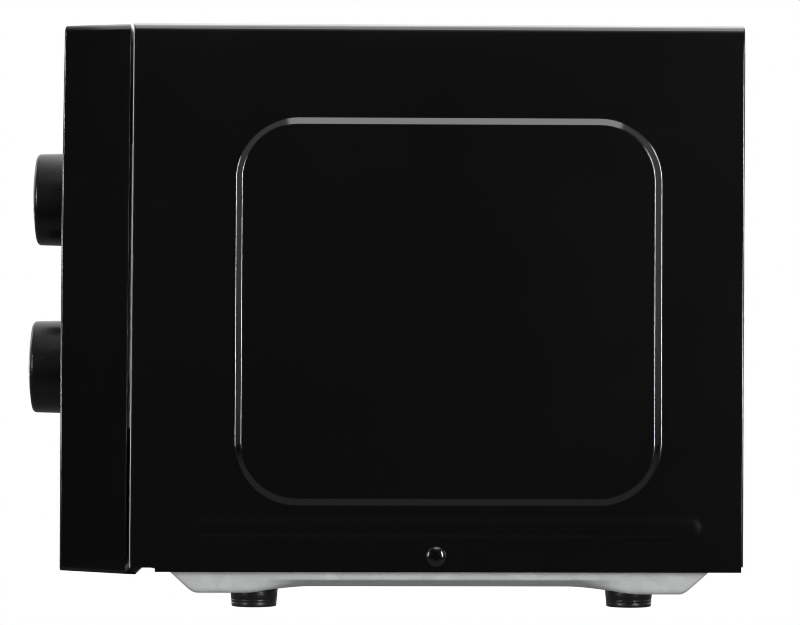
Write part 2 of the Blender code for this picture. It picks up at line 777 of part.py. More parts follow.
def make_door_frame(parent):
    """Moulded door with window opening, rear pocket and hinge slots."""
    body = prism("door", front_profile(FRONT_LOW, False), "X", -SIDE, DOOR_X1)
    plan = prism("plan", door_plan(), "Z", 0, HEIGHT + 20)
    combine(body, [plan], "INTERSECT")
    x0, x1, z0, z1 = window_frame(0)
    opening = prism("opening", rounded(x0, x1, z0, z1, 6, 3), "Y", FRONT - 9, PANEL_REAR + 9)
    x0, x1, z0, z1 = window_frame(GLASS_LAP)
    deep = FRONT + FRONT_RAKE + GLASS_T
    rebate = prism("rebate", rounded(x0, x1, z0, z1, 9, 3), "Y", FRONT - 9, deep)
    x0, x1, z0, z1 = pocket(0)
    back = box("back", x0, x1, FRONT + DOOR_FACE_T, PANEL_REAR + 9, z0, z1)
    cut(body, opening, rebate, back)
    for z, way in hinge_levels():
        cut(body, *hinge_slot(z, way))
    return finish(body, "door_frame", "black_plastic", parent)


def hinge_slot(z, way):
    """Slot for a hinge arm through the closed to open swing, and its bore."""
    half = HINGE_ARM_T / 2 + SLOT_HALF
    low = z - half
    high = z + half
    round_part = rod("slot", HINGE_ARM_HALF + 1.2, "Z", (AXIS_X, AXIS_Y), low, high, 24)
    reach = HINGE_ARM_HALF + 1.5
    swing = box(
        "swing", -SIDE - 9, AXIS_X + reach, AXIS_Y - reach - 1.4, PANEL_REAR + 9, low, high)
    bore_r = HINGE_PIN_R + HINGE_CLEARANCE
    ends = sorted((z, z + way * 14.0))
    bore = rod("bore", bore_r, "Z", (AXIS_X, AXIS_Y), ends[0], ends[1], 24)
    return [round_part, swing, bore]


def make_hinge(name, z, way):
    """Arm through the front plate, with its pin and a fixing flange."""
    half = HINGE_ARM_T / 2
    w = HINGE_ARM_HALF
    body = rod("arm", w, "Z", (AXIS_X, AXIS_Y), z - half, z + half, 24)
    inner = SHELL_Y + GAP
    bar = box("bar", AXIS_X - w, AXIS_X + w, AXIS_Y, inner + 8, z - half, z + half)
    flange = box("flange", AXIS_X - 9, AXIS_X + 9, inner, inner + 1.6, z - 6, z + 6)
    ends = sorted((z, z + way * 10.0))
    pin = rod("pin", HINGE_PIN_R, "Z", (AXIS_X, AXIS_Y), ends[0], ends[1], 24)
    join(body, bar, flange, pin)
    return finish(body, name, "steel")


def make_door_glass(parent):
    """Tinted outer pane in its rebate."""
    x0, x1, z0, z1 = window_frame(GLASS_LAP - GAP)
    back = FRONT + FRONT_RAKE + GLASS_T - GAP
    outline = rounded(x0, x1, z0, z1, 9 - GAP, 3)
    body = prism("glass", outline, "Y", back - GLASS_T, back)
    return finish(body, "door_window", "dark_glass", parent)


def make_door_screen(parent):
    """Metal sheet with its field of fine holes, behind the window."""
    x0, x1, z0, z1 = pocket(GAP)
    front = FRONT + DOOR_FACE_T + GAP
    x1 = LATCH_X - LATCH_ZONE / 2
    body = box("screen", x0, x1, front, front + SCREEN_T, z0, z1)
    return finish(body, "door_screen", "core", parent)


def make_choke_cover(parent):
    """Moulded inner frame over the choke, with two hook slots."""
    x0, x1, z0, z1 = pocket(GAP)
    front = FRONT + DOOR_FACE_T + GAP + SCREEN_T + GAP
    body = box("choke", x0, x1, front, PANEL_REAR, z0, z1)
    wx0, wx1, wz0, wz1 = window_frame(GLASS_LAP)
    window = box("window", wx0, wx1, front - 5, PANEL_REAR + 5, wz0, wz1)
    lx = LATCH_X - LATCH_ZONE / 2
    latch_room = box("room", lx, x1 + 5, front - 5, PANEL_REAR - LATCH_COVER_T, z0 - 5, z1 + 5)
    cut(body, window, latch_room)
    c = HOOK_CLEARANCE / 2
    for k in range(2):
        z = HOOK_LOW_Z + k * HOOK_PITCH
        hx0 = LATCH_X - LATCH_T / 2 - c
        hx1 = LATCH_X + LATCH_T / 2 + c
        low = z - HOOK_BARB - c
        high = z + HOOK_H + HOOK_LIFT + c
        cut(body, box("slot", hx0, hx1, PANEL_REAR - 9, PANEL_REAR + 9, low, high))
    return finish(body, "door_choke_cover", "black_plastic", parent)


def make_latch(parent):
    """Sliding strip inside the door with two rearward hooks."""
    x0 = LATCH_X - LATCH_T / 2
    x1 = LATCH_X + LATCH_T / 2
    front = FRONT + DOOR_FACE_T + 2 * GAP
    inner = PANEL_REAR - LATCH_COVER_T - 1.0
    low = HOOK_LOW_Z - 14
    high = HOOK_LOW_Z + HOOK_PITCH + HOOK_H + 8
    body = box("strip", x0, x1, front + 2, inner, low, high)
    tip = PANEL_REAR + HOOK_REACH
    for k in range(2):
        z = HOOK_LOW_Z + k * HOOK_PITCH
        arm = [(inner - 2, z), (tip - 7, z), (tip - 7, z - HOOK_BARB)]
        arm += [(tip, z - HOOK_BARB + 1), (tip, z + 2), (tip - 4, z + HOOK_H)]
        arm += [(inner - 2, z + HOOK_H)]
        join(body, prism("hook", arm, "X", x0, x1))
    return finish(body, "latch_hooks", "white_plastic", parent)


def panel_plan(inset):
    """Control panel outline from above."""
    x0 = PANEL_X0 + inset
    x1 = SIDE - inset
    y = FRONT + inset
    points = [(x0, PANEL_REAR + 9), (x0, y + 1.5), (x0 + 1.5, y - 2)]
    return points + [(x1 - 1.5, y - 2), (x1, y + 1.5), (x1, PANEL_REAR + 9)]


def make_control_panel():
    """Moulded panel with knob holes, a button opening and a lower lip."""
    body = prism("panel", front_profile(FRONT_LOW, True), "X", PANEL_X0, SIDE)
    combine(body, [prism("plan", panel_plan(0), "Z", 0, HEIGHT + 20)], "INTERSECT")
    w = PANEL_WALL
    low = FRONT_LOW + w
    hollow = box(
        "hollow", PANEL_X0 + w, SIDE - w, FRONT + w + FRONT_RAKE, PANEL_REAR + 9,
        low, HEIGHT - w - 1.0)
    cut(body, hollow)
    r = SHAFT_R + SHAFT_CLEARANCE
    for z in (TIMER_Z, POWER_Z):
        cut(body, rod("hole", r, "Y", (KNOB_X, z), FRONT - 9, FRONT + 15, 24))
    x0 = PANEL_X0 + BUTTON_SIDE
    x1 = SIDE - BUTTON_SIDE
    opening = box("opening", x0, x1, FRONT - 9, FRONT + 9, BUTTON_LOW, BUTTON_HIGH)
    cut(body, opening)
    return finish(body, "control_panel", "black_plastic")


def make_timer_unit():
    """Clockwork timer and power switch in one case, with two bushes."""
    x0, x1, z0, z1 = timer_box()
    front = FRONT + 12.0
    body = box("case", x0, x1, front, PLATE_Y + 16, z0, z1)
    for z in (TIMER_Z, POWER_Z):
        nose = FRONT + PANEL_WALL + FRONT_RAKE + 1.5
        join(body, rod("bush", BUSH_R, "Y", (KNOB_X, z), nose, front + 2, 24))
        cut(body, rod("bore", SHAFT_R + 0.5, "Y", (KNOB_X, z), nose - 5, front + 10, 24))
    return finish(body, "timer_unit", "white_plastic")


def make_knob(name, z, proud, parent):
    """Domed round knob with a pointer groove and a blind shaft bore."""
    face = FRONT - KNOB_LIFT
    tip = FRONT - proud
    r = KNOB_R
    e = KNOB_EDGE
    deep = proud - KNOB_LIFT
    profile = [(0, 0), (r * 0.5, KNOB_DOME * 0.25), (r - e - 1.0, KNOB_DOME * 0.8)]
    for k in range(4):
        a = math.radians(90 * k / 3)
        profile.append((r - e - 0.5 + e * math.sin(a), KNOB_DOME + e - e * math.cos(a)))
    bore = SHAFT_R + GAP
    depth = deep - 8.0
    profile += [(r, deep), (bore, deep), (bore, depth), (0, depth)]
    body = turned(name, profile, "Y", (KNOB_X, z, tip), 32)
    groove = box("groove", KNOB_X - 0.8, KNOB_X + 0.8, tip - 5, tip + 2.6, z + r * 0.45, z + r + 5)
    cut(body, groove)
    assert abs(face - tip - deep) < 1e-6
    return finish(body, name, "knob_plastic", parent, smooth=35)


def make_shaft(name, z, proud, parent):
    """Shaft from inside the knob into the unit's bush."""
    start = FRONT - KNOB_LIFT - 8.0 + GAP
    if proud - KNOB_LIFT < 9:
        start = FRONT - KNOB_LIFT
    end = FRONT + 12.0 + 9.0
    body = rod(name, SHAFT_R, "Y", (KNOB_X, z), start, end, 24)
    return finish(body, name, "steel", parent)


def plunger_z():
    """Height where the button's plunger meets the lever."""
    return LEVER_Z - LEVER_DROP


def make_button(parent):
    """Door button, flush with the panel, with a long plunger."""
    c = BUTTON_CLEARANCE
    x0 = PANEL_X0 + BUTTON_SIDE + c
    x1 = SIDE - BUTTON_SIDE - c
    front = FRONT + 0.2
    body = box("button", x0, x1, front, front + BUTTON_DEPTH, BUTTON_LOW + c, BUTTON_HIGH - c)
    place = (BUTTON_X, plunger_z())
    end = LEVER_Y - 2.0 - GAP
    rod_part = rod("plunger", PLUNGER_R, "Y", place, front + BUTTON_DEPTH - 2, end, 16)
    join(body, rod_part)
    return finish(body, "open_button", "black_plastic", parent)


def make_lever(parent):
    """Bell crank that turns the button's push into the hooks' lift."""
    x0 = LATCH_X - LATCH_T / 2
    x1 = BUTTON_X + 5
    body = rod("bar", LEVER_R, "X", (LEVER_Y, LEVER_Z), x0, x1, 16)
    z0 = plunger_z() - 4
    arm = box("arm", BUTTON_X - 5, x1, LEVER_Y - 2, LEVER_Y + 2, z0, LEVER_Z)
    tab = box("tab", x0, x0 + LATCH_T, LEVER_Y, LEVER_Y + LEVER_TAB, LEVER_Z, LEVER_Z + LEVER_R)
    join(body, arm, tab)
    return finish(body, "release_lever", "white_plastic", parent)


def make_bracket():
    """Plate beside the hooks that carries the three microswitches."""
    x = LATCH_X + LATCH_T / 2 + HOOK_CLEARANCE + 2.0
    z0 = HOOK_LOW_Z + 14
    z1 = HOOK_LOW_Z + HOOK_PITCH + HOOK_H + 16
    y0 = SHELL_Y + GAP
    body = box("bracket", x, x + 1.6, y0, y0 + 30, z0, z1)
    foot = box("foot", x, x + 13, y0, y0 + 1.6, z0, z0 + 8)
    head = box("head", x, x + 13, y0, y0 + 1.6, z1 - 8, z1)
    join(body, foot, head)
    return finish(body, "interlock_bracket", "white_plastic")


def make_switches():
    """Door microswitches with their buttons towards the hooks."""
    x = LATCH_X + LATCH_T / 2 + HOOK_CLEARANCE + 2.0 + 1.6 + GAP
    y0 = SHELL_Y + 6
    for k in range(3):
        z = HOOK_LOW_Z + 26 + 32 * k
        body = box("switch", x, x + 9, y0, y0 + 16, z, z + 27)
        join(body, box("tab", x + 3, x + 6, y0 + 14, y0 + 20, z + 4, z + 7))
        finish(body, f"microswitch_{k + 1}", "black_plastic")


# ------------------------------------------------- turntable and rack

def make_motor():
    """Flat turntable motor under the cavity floor, with its shaft."""
    top = CAVITY_FLOOR - SHEET - GAP
    place = (CAV_X, CAV_Y)
    body = rod("motor", MOTOR_R, "Z", place, top - MOTOR_H, top, 24)
    join(body, rod("shaft", SHAFT_R, "Z", place, top - 2, CAVITY_FLOOR + 8, 16))
    return finish(body, "turntable_motor", "galvanised")


def make_coupler(parent):
    """Three-winged drive on the motor's shaft."""
    low = CAVITY_FLOOR + GAP + 0.5
    top = TRAY_Z - GAP
    body = rod("hub", 7.0, "Z", (CAV_X, CAV_Y), low, top, 24)
    for k in range(3):
        a = 2 * math.pi * k / 3
        c = math.cos(a)
        s = math.sin(a)
        u = COUPLER_R
        wing = [(c * 2 + s * 2.5, s * 2 - c * 2.5), (c * u + s * 2.5, s * u - c * 2.5)]
        wing += [(c * u - s * 2.5, s * u + c * 2.5), (c * 2 - s * 2.5, s * 2 + c * 2.5)]
        wing = [(CAV_X + p, CAV_Y + q) for p, q in wing]
        join(body, prism("wing", wing, "Z", low + 4, top))
    cut(body, rod("bore", SHAFT_R + 0.5, "Z", (CAV_X, CAV_Y), low - 5, CAVITY_FLOOR + 9, 24))
    return finish(body, "turntable_coupler", "white_plastic", parent)


def make_ring(parent):
    """Loose ring with three roller axles."""
    low = ROLL_Z - 2.5
    high = ROLL_Z + 2.5
    profile = [(RING_IN, low), (RING_OUT, low), (RING_OUT, high), (RING_IN, high)]
    body = turned("ring", profile, "Z", (CAV_X, CAV_Y, 0), 36, ring=True)
    for k in range(3):
        a = 2 * math.pi * k / 3
        d = Vector((math.cos(a), math.sin(a), 0))
        middle = Vector((CAV_X, CAV_Y, ROLL_Z))
        start = middle + d * (RING_OUT - 3)
        end = middle + d * (ROLLER_TRACK + ROLLER_W / 2 + 1.5)
        join(body, beam("axle", start, end, AXLE_R, 12))
    return finish(body, "roller_ring", "white_plastic", parent)


def make_roller(k, parent):
    """One roller on its radial axle."""
    a = 2 * math.pi * k / 3
    half = ROLLER_W / 2
    bore = AXLE_R + 0.4
    profile = [(bore, -half), (ROLLER_R - 0.5, -half), (ROLLER_R, -half + 0.8)]
    profile += [(ROLLER_R, half - 0.8), (ROLLER_R - 0.5, half), (bore, half)]
    body = turned("roller", profile, "X", (0, 0, 0), 16, ring=True)
    body.data.transform(Matrix.Rotation(a, 4, "Z"))
    spot_x = CAV_X + ROLLER_TRACK * math.cos(a)
    spot_y = CAV_Y + ROLLER_TRACK * math.sin(a)
    body.data.transform(Matrix.Translation(Vector((spot_x, spot_y, ROLL_Z)) * MM))
    return finish(body, f"roller_{k + 1}", "white_plastic", parent)


def make_tray(parent):
    """Glass plate with a raised rim and three lugs for the drive."""
    z = TRAY_Z
    t = TRAY_T
    flat = TRAY_FLAT_R
    rim = TRAY_R
    rise = TRAY_RISE
    profile = [(0, z), (flat, z), (flat + 7, z + 1.5), (rim - 2, z + rise - 2)]
    profile += [(rim, z + rise), (rim - 1, z + rise + 1.2), (rim - 5, z + rise + 0.6)]
    profile += [(flat + 3, z + t + 1.4), (flat - 2, z + t), (0, z + t)]
    body = turned("tray", profile, "Z", (CAV_X, CAV_Y, 0), 36)
    for k in range(3):
        a = 2 * math.pi * (k + 0.5) / 3
        x = CAV_X + 13.0 * math.cos(a)
        y = CAV_Y + 13.0 * math.sin(a)
        join(body, rod("lug", 3.0, "Z", (x, y), z - 3.5, z + 2, 8))
    return finish(body, "glass_tray", "glass", parent)


def make_rack(parent):
    """Low round wire rack: a rim, cross wires and three legs."""
    w = RACK_WIRE
    top = RACK_Z + RACK_HEIGHT
    profile = []
    for k in range(6):
        a = 2 * math.pi * k / 6
        profile.append((RACK_R + w * math.cos(a), top + w * math.sin(a)))
    body = turned("rim", profile, "Z", (CAV_X, CAV_Y, 0), 32, ring=True)
    pitch = 2 * RACK_R / (RACK_BARS + 1)
    for k in range(RACK_BARS):
        off = -RACK_R + pitch * (k + 1)
        half = math.sqrt(RACK_R ** 2 - off ** 2)
        y = CAV_Y + off
        z = top + 0.4 * w
        start = (CAV_X - half, y, z)
        join(body, beam("bar", start, (CAV_X + half, y, z), w * 0.75, 6))
    for k in range(3):
        a = 2 * math.pi * k / 3 + 0.5
        x = CAV_X + (RACK_R - 1) * math.cos(a)
        y = CAV_Y + (RACK_R - 1) * math.sin(a)
        join(body, rod("leg", w * 1.2, "Z", (x, y), RACK_Z, top, 8))
    return finish(body, "grill_rack", "steel", parent)


# ------------------------------------------------- grill and electrical

def make_grill():
    """Heater housing on the cavity roof, its guard and two quartz tubes."""
    base = CAV_TOP + SHEET + GAP
    top = base + GRILL_H
    x = GRILL_X
    y = GRILL_Y
    s = SHEET
    body = box("housing", CAV_X - x, CAV_X + x, CAV_Y - y, CAV_Y + y, base, top)
    cut(body, box("room", CAV_X - x + s, CAV_X + x - s, CAV_Y - y + s, CAV_Y + y - s,
                  base - 5, top - s))
    finish(body, "grill_housing", "galvanised")
    for name, side in (("quartz_heater_front", -1), ("quartz_heater_rear", 1)):
        place = (CAV_Y + side * 12.0, base + GRILL_H / 2)
        low = CAV_X - x + s + GAP
        high = CAV_X + x - s - GAP
        tube = rod("tube", HEATER_R, "X", place, low, high, 16)
        finish(tube, name, "quartz")
    z = CAV_TOP - GAP
    guard = box("guard", CAV_X - x, CAV_X + x, CAV_Y - y, CAV_Y + y, z - s, z)
    bars = 15
    pitch = (2 * x - 12) / bars
    for k in range(bars):
        sx = CAV_X - x + 6 + pitch * k + 2
        slot = box("slot", sx, sx + pitch - 4, CAV_Y - y + 8, CAV_Y + y - 8, z - 5, z + 5)
        cut(guard, slot)
    finish(guard, "grill_guard", "steel")


def waveguide_centre():
    """Middle of the waveguide's port on the cavity wall (Y, Z)."""
    return (CAV_Y - 34.0, CAV_TOP - 46.0)


def make_waveguide():
    """Sheet duct on the cavity wall, open to it, and its mica cover."""
    y, z = waveguide_centre()
    hy = WAVEGUIDE_Y / 2
    hz = WAVEGUIDE_Z / 2
    x0 = COMP_X0
    x1 = x0 + WAVEGUIDE_X
    s = SHEET
    body = box("duct", x0, x1, y - hy, y + hy, z - hz, z + hz)
    room = box("room", x0 - 5, x1 - s, y - hy + s, y + hy - s, z - hz + s, z + hz - s)
    antenna = rod("hole", 9.0, "X", (y, z), x1 - 5, x1 + 5, 16)
    cut(body, room, antenna)
    finish(body, "waveguide", "galvanised")
    x = CAV_X1 - GAP
    mica = box("mica", x - 0.6, x, y - hy, y + hy, z - hz, z + hz)
    finish(mica, "waveguide_cover", "mica")


def make_magnetron():
    """Magnetron: yoke with cooling slots, antenna and filter box."""
    y, z = waveguide_centre()
    sx, sy, sz = MAGNETRON
    x0 = COMP_X0 + WAVEGUIDE_X + GAP
    y0 = y - sy / 2
    z0 = z - sz / 2
    body = box("yoke", x0, x0 + sx, y0, y0 + sy, z0, z0 + sz)
    join(body, rod("antenna", 7.0, "X", (y, z), x0 - 14, x0 + 5, 16))
    for k in range(6):
        x = x0 + 10 + 8 * k
        cut(body, box("fin", x, x + 4, y0 - 5, y0 + sy + 5, z0 + 12, z0 + sz - 12))
    return finish(body, "magnetron", "aluminium")


def core_place():
    """Low corner of the transformer core."""
    x0 = SIDE - SHEET - 6 - CORE[0]
    return (x0, SHELL_Y + 40.0, COVER_BOTTOM + BASE_T + GAP)


def make_transformer():
    """Laminated core with two windows and the winding on its middle limb."""
    x0, y0, z0 = core_place()
    sx, sy, sz = CORE
    xm = x0 + sx / 2
    limb = CORE_LIMB / 2
    w = WINDING_T
    body = box("core", x0, x0 + sx, y0, y0 + sy, z0, z0 + sz)
    wz0 = z0 + 11
    wz1 = z0 + sz - 11
    for sign in (-1, 1):
        a = xm + sign * limb
        b = xm + sign * (limb + w + 2)
        low, high = sorted((a, b))
        cut(body, box("window", low, high, y0 - 5, y0 + sy + 5, wz0, wz1))
    finish(body, "transformer_core", "core")
    g = 0.5
    outer = box(
        "winding", xm - limb - w, xm + limb + w, y0 - w, y0 + sy + w, wz0 + g, wz1 - g)
    inner = box("limb", xm - limb - g, xm + limb + g, y0 - g, y0 + sy + g, z0 - 5, z0 + sz + 5)
    cut(outer, inner)
    return finish(outer, "transformer_winding", "copper")


def make_capacitor():
    """Oval high-voltage capacitor beside the transformer."""
    sx, sy, sz = CAPACITOR
    x0 = SIDE - SHEET - 30 - sx
    y0 = core_place()[1] + CORE[1] + WINDING_T + 12
    z0 = COVER_BOTTOM + BASE_T + GAP
    outline = rounded(x0, x0 + sx, y0, y0 + sy, sy / 2 - 1, 6)
    body = prism("can", outline, "Z", z0, z0 + sz)
    for dx in (-9, 9):
        x = x0 + sx / 2 + dx
        join(body, box("tag", x - 3, x + 3, y0 + sy / 2 - 0.5, y0 + sy / 2 + 0.5, z0, z0 + sz + 7))
    return finish(body, "capacitor", "aluminium")


def fan_centre():
    """Fan axis (X, Z)."""
    return (COMP_X0 + 6 + FAN_SHROUD / 2, CAV_TOP - 8 - FAN_SHROUD / 2)


def make_fan(fixed_only, parent=None):
    """Fan shroud and motor, or the bladed rotor."""
    x, z = fan_centre()
    half = FAN_SHROUD / 2
    y1 = BACK_Y - 3.0
    y0 = y1 - FAN_DEPTH
    hub = (x, z)
    if fixed_only:
        body = box("shroud", x - half, x + half, y0, y1, z - half, z + half)
        cut(body, rod("round", FAN_R + 3, "Y", hub, y0 - 5, y1 + 5, 32))
        finish(body, "fan_duct", "white_plastic")
        m = FAN_MOTOR / 2
        motor = box("motor", x - m, x + m, y0 - 24, y0 - 4, z - m, z + m)
        join(motor, rod("shaft", 2.0, "Y", hub, y0 - 6, y0 + 14, 16))
        join(motor, box("arm", x - half, x + half, y0 - 12, y0 - 8, z - 5, z + 5))
        return finish(motor, "fan_motor", "steel")
    body = rod("hub", 10.0, "Y", hub, y0 + 4, y0 + 18, 20)
    for k in range(5):
        blade = box("blade", 8, FAN_R, -0.6, 0.6, -9, 9)
        blade.data.transform(Matrix.Rotation(math.radians(55), 4, "X"))
        blade.data.transform(Matrix.Rotation(math.radians(72 * k), 4, "Z"))
        blade.data.transform(Matrix.Rotation(math.radians(90), 4, "X"))
        blade.data.transform(Matrix.Translation(Vector((x, y0 + 11, z)) * MM))
        join(body, blade)
    cut(body, rod("bore", 2.5, "Y", hub, y0, y0 + 15, 20))
    return finish(body, "fan_blade", "white_plastic", parent)


def make_board():
    """Line filter board above the magnetron's bay."""
    y = SHELL_Y + 8
    x1 = SIDE - SHEET - 12
    z = CAV_TOP + 4
    body = box("board", x1 - 70, x1, y, y + 60, z, z + 1.6)
    join(body, box("coil", x1 - 52, x1 - 28, y + 14, y + 40, z + 1, z + 13))
    return finish(body, "filter_board", "board")


def lamp_centre():
    """Middle of the lamp window on the cavity wall (Y, Z)."""
    return (CAV_Y + 34.0, CAV_TOP - 24.0)


def make_lamp():
    """Lamp holder against the cavity's perforations."""
    y, z = lamp_centre()
    x0 = COMP_X0 + GAP
    body = box("holder", x0 + 16, x0 + 24, y - 11, y + 11, z - 11, z + 11)
    join(body, turned(
        "bulb", [(0, 2), (5, 3), (7, 8), (6, 13), (5, 18), (0, 18)], "X", (y, z, x0), 16))
    return finish(body, "cavity_lamp", "quartz")


def build():
    """Every sub-part, the fixed ones first."""
    clear_scene()
    make_cover()
    make_rear_panel()
    make_gland()
    make_base()
    names = ("foot_front_left", "foot_front_right", "foot_rear_left", "foot_rear_right")
    for name, (x, y) in zip(names, foot_places()):
        make_foot(name, x, y)
    make_screws()
    make_front_plate()
    make_liner()
    make_control_panel()
    make_timer_unit()
    make_bracket()
    make_switches()
    levels = hinge_levels()
    make_hinge("hinge_upper", *levels[0])
    make_hinge("hinge_lower", *levels[1])
    make_grill()
    make_waveguide()
    make_magnetron()
    make_transformer()
    make_capacitor()
    make_fan(True)
    make_board()
    make_lamp()
    make_motor()
    door = pivot("door_axis", AXIS_X, AXIS_Y, 0)
    make_door_frame(door)
    make_door_glass(door)
    make_door_screen(door)
    make_choke_cover(door)
    make_latch(pivot("latch_axis", LATCH_X, PANEL_REAR, HOOK_LOW_Z, door))
    power = pivot("power_axis", KNOB_X, FRONT, POWER_Z)
    make_knob("power_knob", POWER_Z, POWER_KNOB_PROUD, power)
    make_shaft("power_shaft", POWER_Z, POWER_KNOB_PROUD, power)
    timer = pivot("timer_axis", KNOB_X, FRONT, TIMER_Z)
    make_knob("timer_knob", TIMER_Z, KNOB_PROUD, timer)
    make_shaft("timer_shaft", TIMER_Z, KNOB_PROUD, timer)
    make_button(pivot("button_axis", BUTTON_X, FRONT, plunger_z()))
    make_lever(pivot("lever_axis", LATCH_X, LEVER_Y, LEVER_Z))
    fan_x, fan_z = fan_centre()
    make_fan(False, pivot("fan_axis", fan_x, BACK_Y - 20, fan_z))
    turn = pivot("turntable_axis", CAV_X, CAV_Y, CAVITY_FLOOR)
    make_coupler(turn)
    tray = pivot("tray_axis", CAV_X, CAV_Y, TRAY_Z, turn)
    make_tray(tray)
    make_rack(pivot("rack_axis", CAV_X, CAV_Y, RACK_Z, tray))
    ring = pivot("ring_axis", CAV_X, CAV_Y, ROLL_Z)
    make_ring(ring)
    for k in range(3):
        a = 2 * math.pi * k / 3
        x = CAV_X + ROLLER_TRACK * math.cos(a)
        y = CAV_Y + ROLLER_TRACK * math.sin(a)
        make_roller(k, pivot(f"roller_axis_{k + 1}", x, y, ROLL_Z, ring))


build()
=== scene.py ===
"""Compact black microwave oven with a quartz grill, two knobs and a side-hinged
door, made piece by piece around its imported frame."""

import math

import bmesh
import bpy
from mathutils import Matrix, Vector
from mathutils.geometry import delaunay_2d_cdt


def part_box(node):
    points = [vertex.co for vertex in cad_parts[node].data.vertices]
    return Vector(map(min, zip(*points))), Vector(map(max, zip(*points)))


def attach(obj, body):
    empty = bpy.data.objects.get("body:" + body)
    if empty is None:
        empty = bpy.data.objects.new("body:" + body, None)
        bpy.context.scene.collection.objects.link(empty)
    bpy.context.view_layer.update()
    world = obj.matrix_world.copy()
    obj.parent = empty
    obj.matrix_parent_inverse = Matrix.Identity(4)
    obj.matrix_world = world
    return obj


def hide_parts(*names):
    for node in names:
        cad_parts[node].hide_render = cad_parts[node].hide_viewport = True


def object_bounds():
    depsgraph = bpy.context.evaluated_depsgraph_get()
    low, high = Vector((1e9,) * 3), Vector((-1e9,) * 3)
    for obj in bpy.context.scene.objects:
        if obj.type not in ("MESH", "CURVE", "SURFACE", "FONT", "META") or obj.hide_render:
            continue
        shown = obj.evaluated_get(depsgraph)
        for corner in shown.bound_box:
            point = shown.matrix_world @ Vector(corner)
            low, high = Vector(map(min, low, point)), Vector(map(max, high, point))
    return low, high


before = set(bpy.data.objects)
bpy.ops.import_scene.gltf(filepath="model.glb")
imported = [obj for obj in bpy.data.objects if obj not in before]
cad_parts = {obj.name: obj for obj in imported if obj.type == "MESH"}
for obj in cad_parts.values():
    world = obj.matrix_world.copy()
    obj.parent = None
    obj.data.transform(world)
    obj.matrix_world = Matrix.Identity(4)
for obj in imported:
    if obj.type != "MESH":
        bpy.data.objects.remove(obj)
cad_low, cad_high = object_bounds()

# ---- camera and studio
# A long lens looks at the control side from low down. The studio is white where the
# camera sees it, and the oven itself is lit by a roof softbox and upright strips.

scene = bpy.context.scene
scene.view_settings.view_transform = "Standard"
scene.cycles.filter_width = 1.0


def placed(name, data):
    """An object for some data, linked to the scene."""
    made = bpy.data.objects.new(name, data)
    scene.collection.objects.link(made)
    return made


LENS_MM = 141.89
CAMERA_PLACE = (1.624, -0.0218, 0.1030)
YAW, PITCH, ROLL = -0.0208, 0.0216, 0.0028

camera_data = bpy.data.cameras.new("camera")
camera_data.lens = LENS_MM
camera_data.sensor_width = 36.0
camera = placed("camera", camera_data)
along_side = Matrix(((0, 0, 1), (1, 0, 0), (0, 1, 0)))
swing = Matrix.Rotation(YAW, 3, "Z") @ Matrix.Rotation(PITCH, 3, "Y") @ Matrix.Rotation(ROLL, 3, "X")
camera.matrix_world = Matrix.Translation(CAMERA_PLACE) @ (swing @ along_side).to_4x4()
scene.camera = camera


class Wire:
    """One value in a node tree. Plain arithmetic on it adds Math nodes."""

    def __init__(self, tree, socket):
        self.tree = tree
        self.socket = socket

    def maths(self, operation, first, second):
        step = self.tree.nodes.new("ShaderNodeMath")
        step.operation = operation
        for slot, value in zip(step.inputs, (first, second)):
            plug(self.tree, slot, value)
        return Wire(self.tree, step.outputs[0])

    def __add__(self, other):
        return self.maths("ADD", self, other)

    __radd__ = __add__

    def __sub__(self, other):
        return self.maths("SUBTRACT", self, other)

    def __rsub__(self, other):
        return self.maths("SUBTRACT", other, self)

    def __mul__(self, other):
        return self.maths("MULTIPLY", self, other)

    __rmul__ = __mul__

    def __gt__(self, other):
        return self.maths("GREATER_THAN", self, other)

    def __lt__(self, other):
        return self.maths("LESS_THAN", self, other)


def plug(tree, slot, value):
    """Links a Wire to a socket, or sets the socket's own value."""
    if isinstance(value, Wire):
        tree.links.new(value.socket, slot)
    elif isinstance(value, tuple) and len(value) == 3 and slot.type == "RGBA":
        slot.default_value = (*value, 1.0)
    else:
        slot.default_value = value


class Nodes:
    """A node tree that is written one call a node."""

    def __init__(self, tree):
        self.tree = tree
        tree.nodes.clear()

    def node(self, kind, settings=None, values=None, output=0):
        made = self.tree.nodes.new("ShaderNode" + kind)
        for key, value in (settings or {}).items():
            setattr(made, key, value)
        for key, value in (values or {}).items():
            plug(self.tree, made.inputs[key], value)
        return Wire(self.tree, made.outputs[output]) if made.outputs else None

    def along(self, vector, axis):
        return self.node("SeparateXYZ", values={"Vector": vector}, output=axis)

    def ramp(self, value, start, end, low, high):
        return self.node("MapRange", {"interpolation_type": "SMOOTHSTEP"}, {
            "Value": value, "From Min": start, "From Max": end, "To Min": low, "To Max": high})


WHITE_BEHIND = 1.0
AMBIENT_DARK = 0.006       # toward the camera's side
AMBIENT_OPEN = 1.35        # over and behind the oven
DARK_UNTIL, OPEN_FROM = 0.84, -0.62

world = bpy.data.worlds.new("studio")
world.use_nodes = True
scene.world = world
sky = Nodes(world.node_tree)
seen = sky.node("LightPath", output="Is Camera Ray")
toward = sky.along(sky.node("TexCoord", output="Generated"), "X")
opening = sky.ramp(toward, DARK_UNTIL, OPEN_FROM, AMBIENT_DARK, AMBIENT_OPEN)
level = opening * (1 - seen) + seen * WHITE_BEHIND
glow = sky.node("Background", values={"Color": (1.0, 1.0, 1.0), "Strength": level})
sky.node("OutputWorld", values={"Surface": glow})


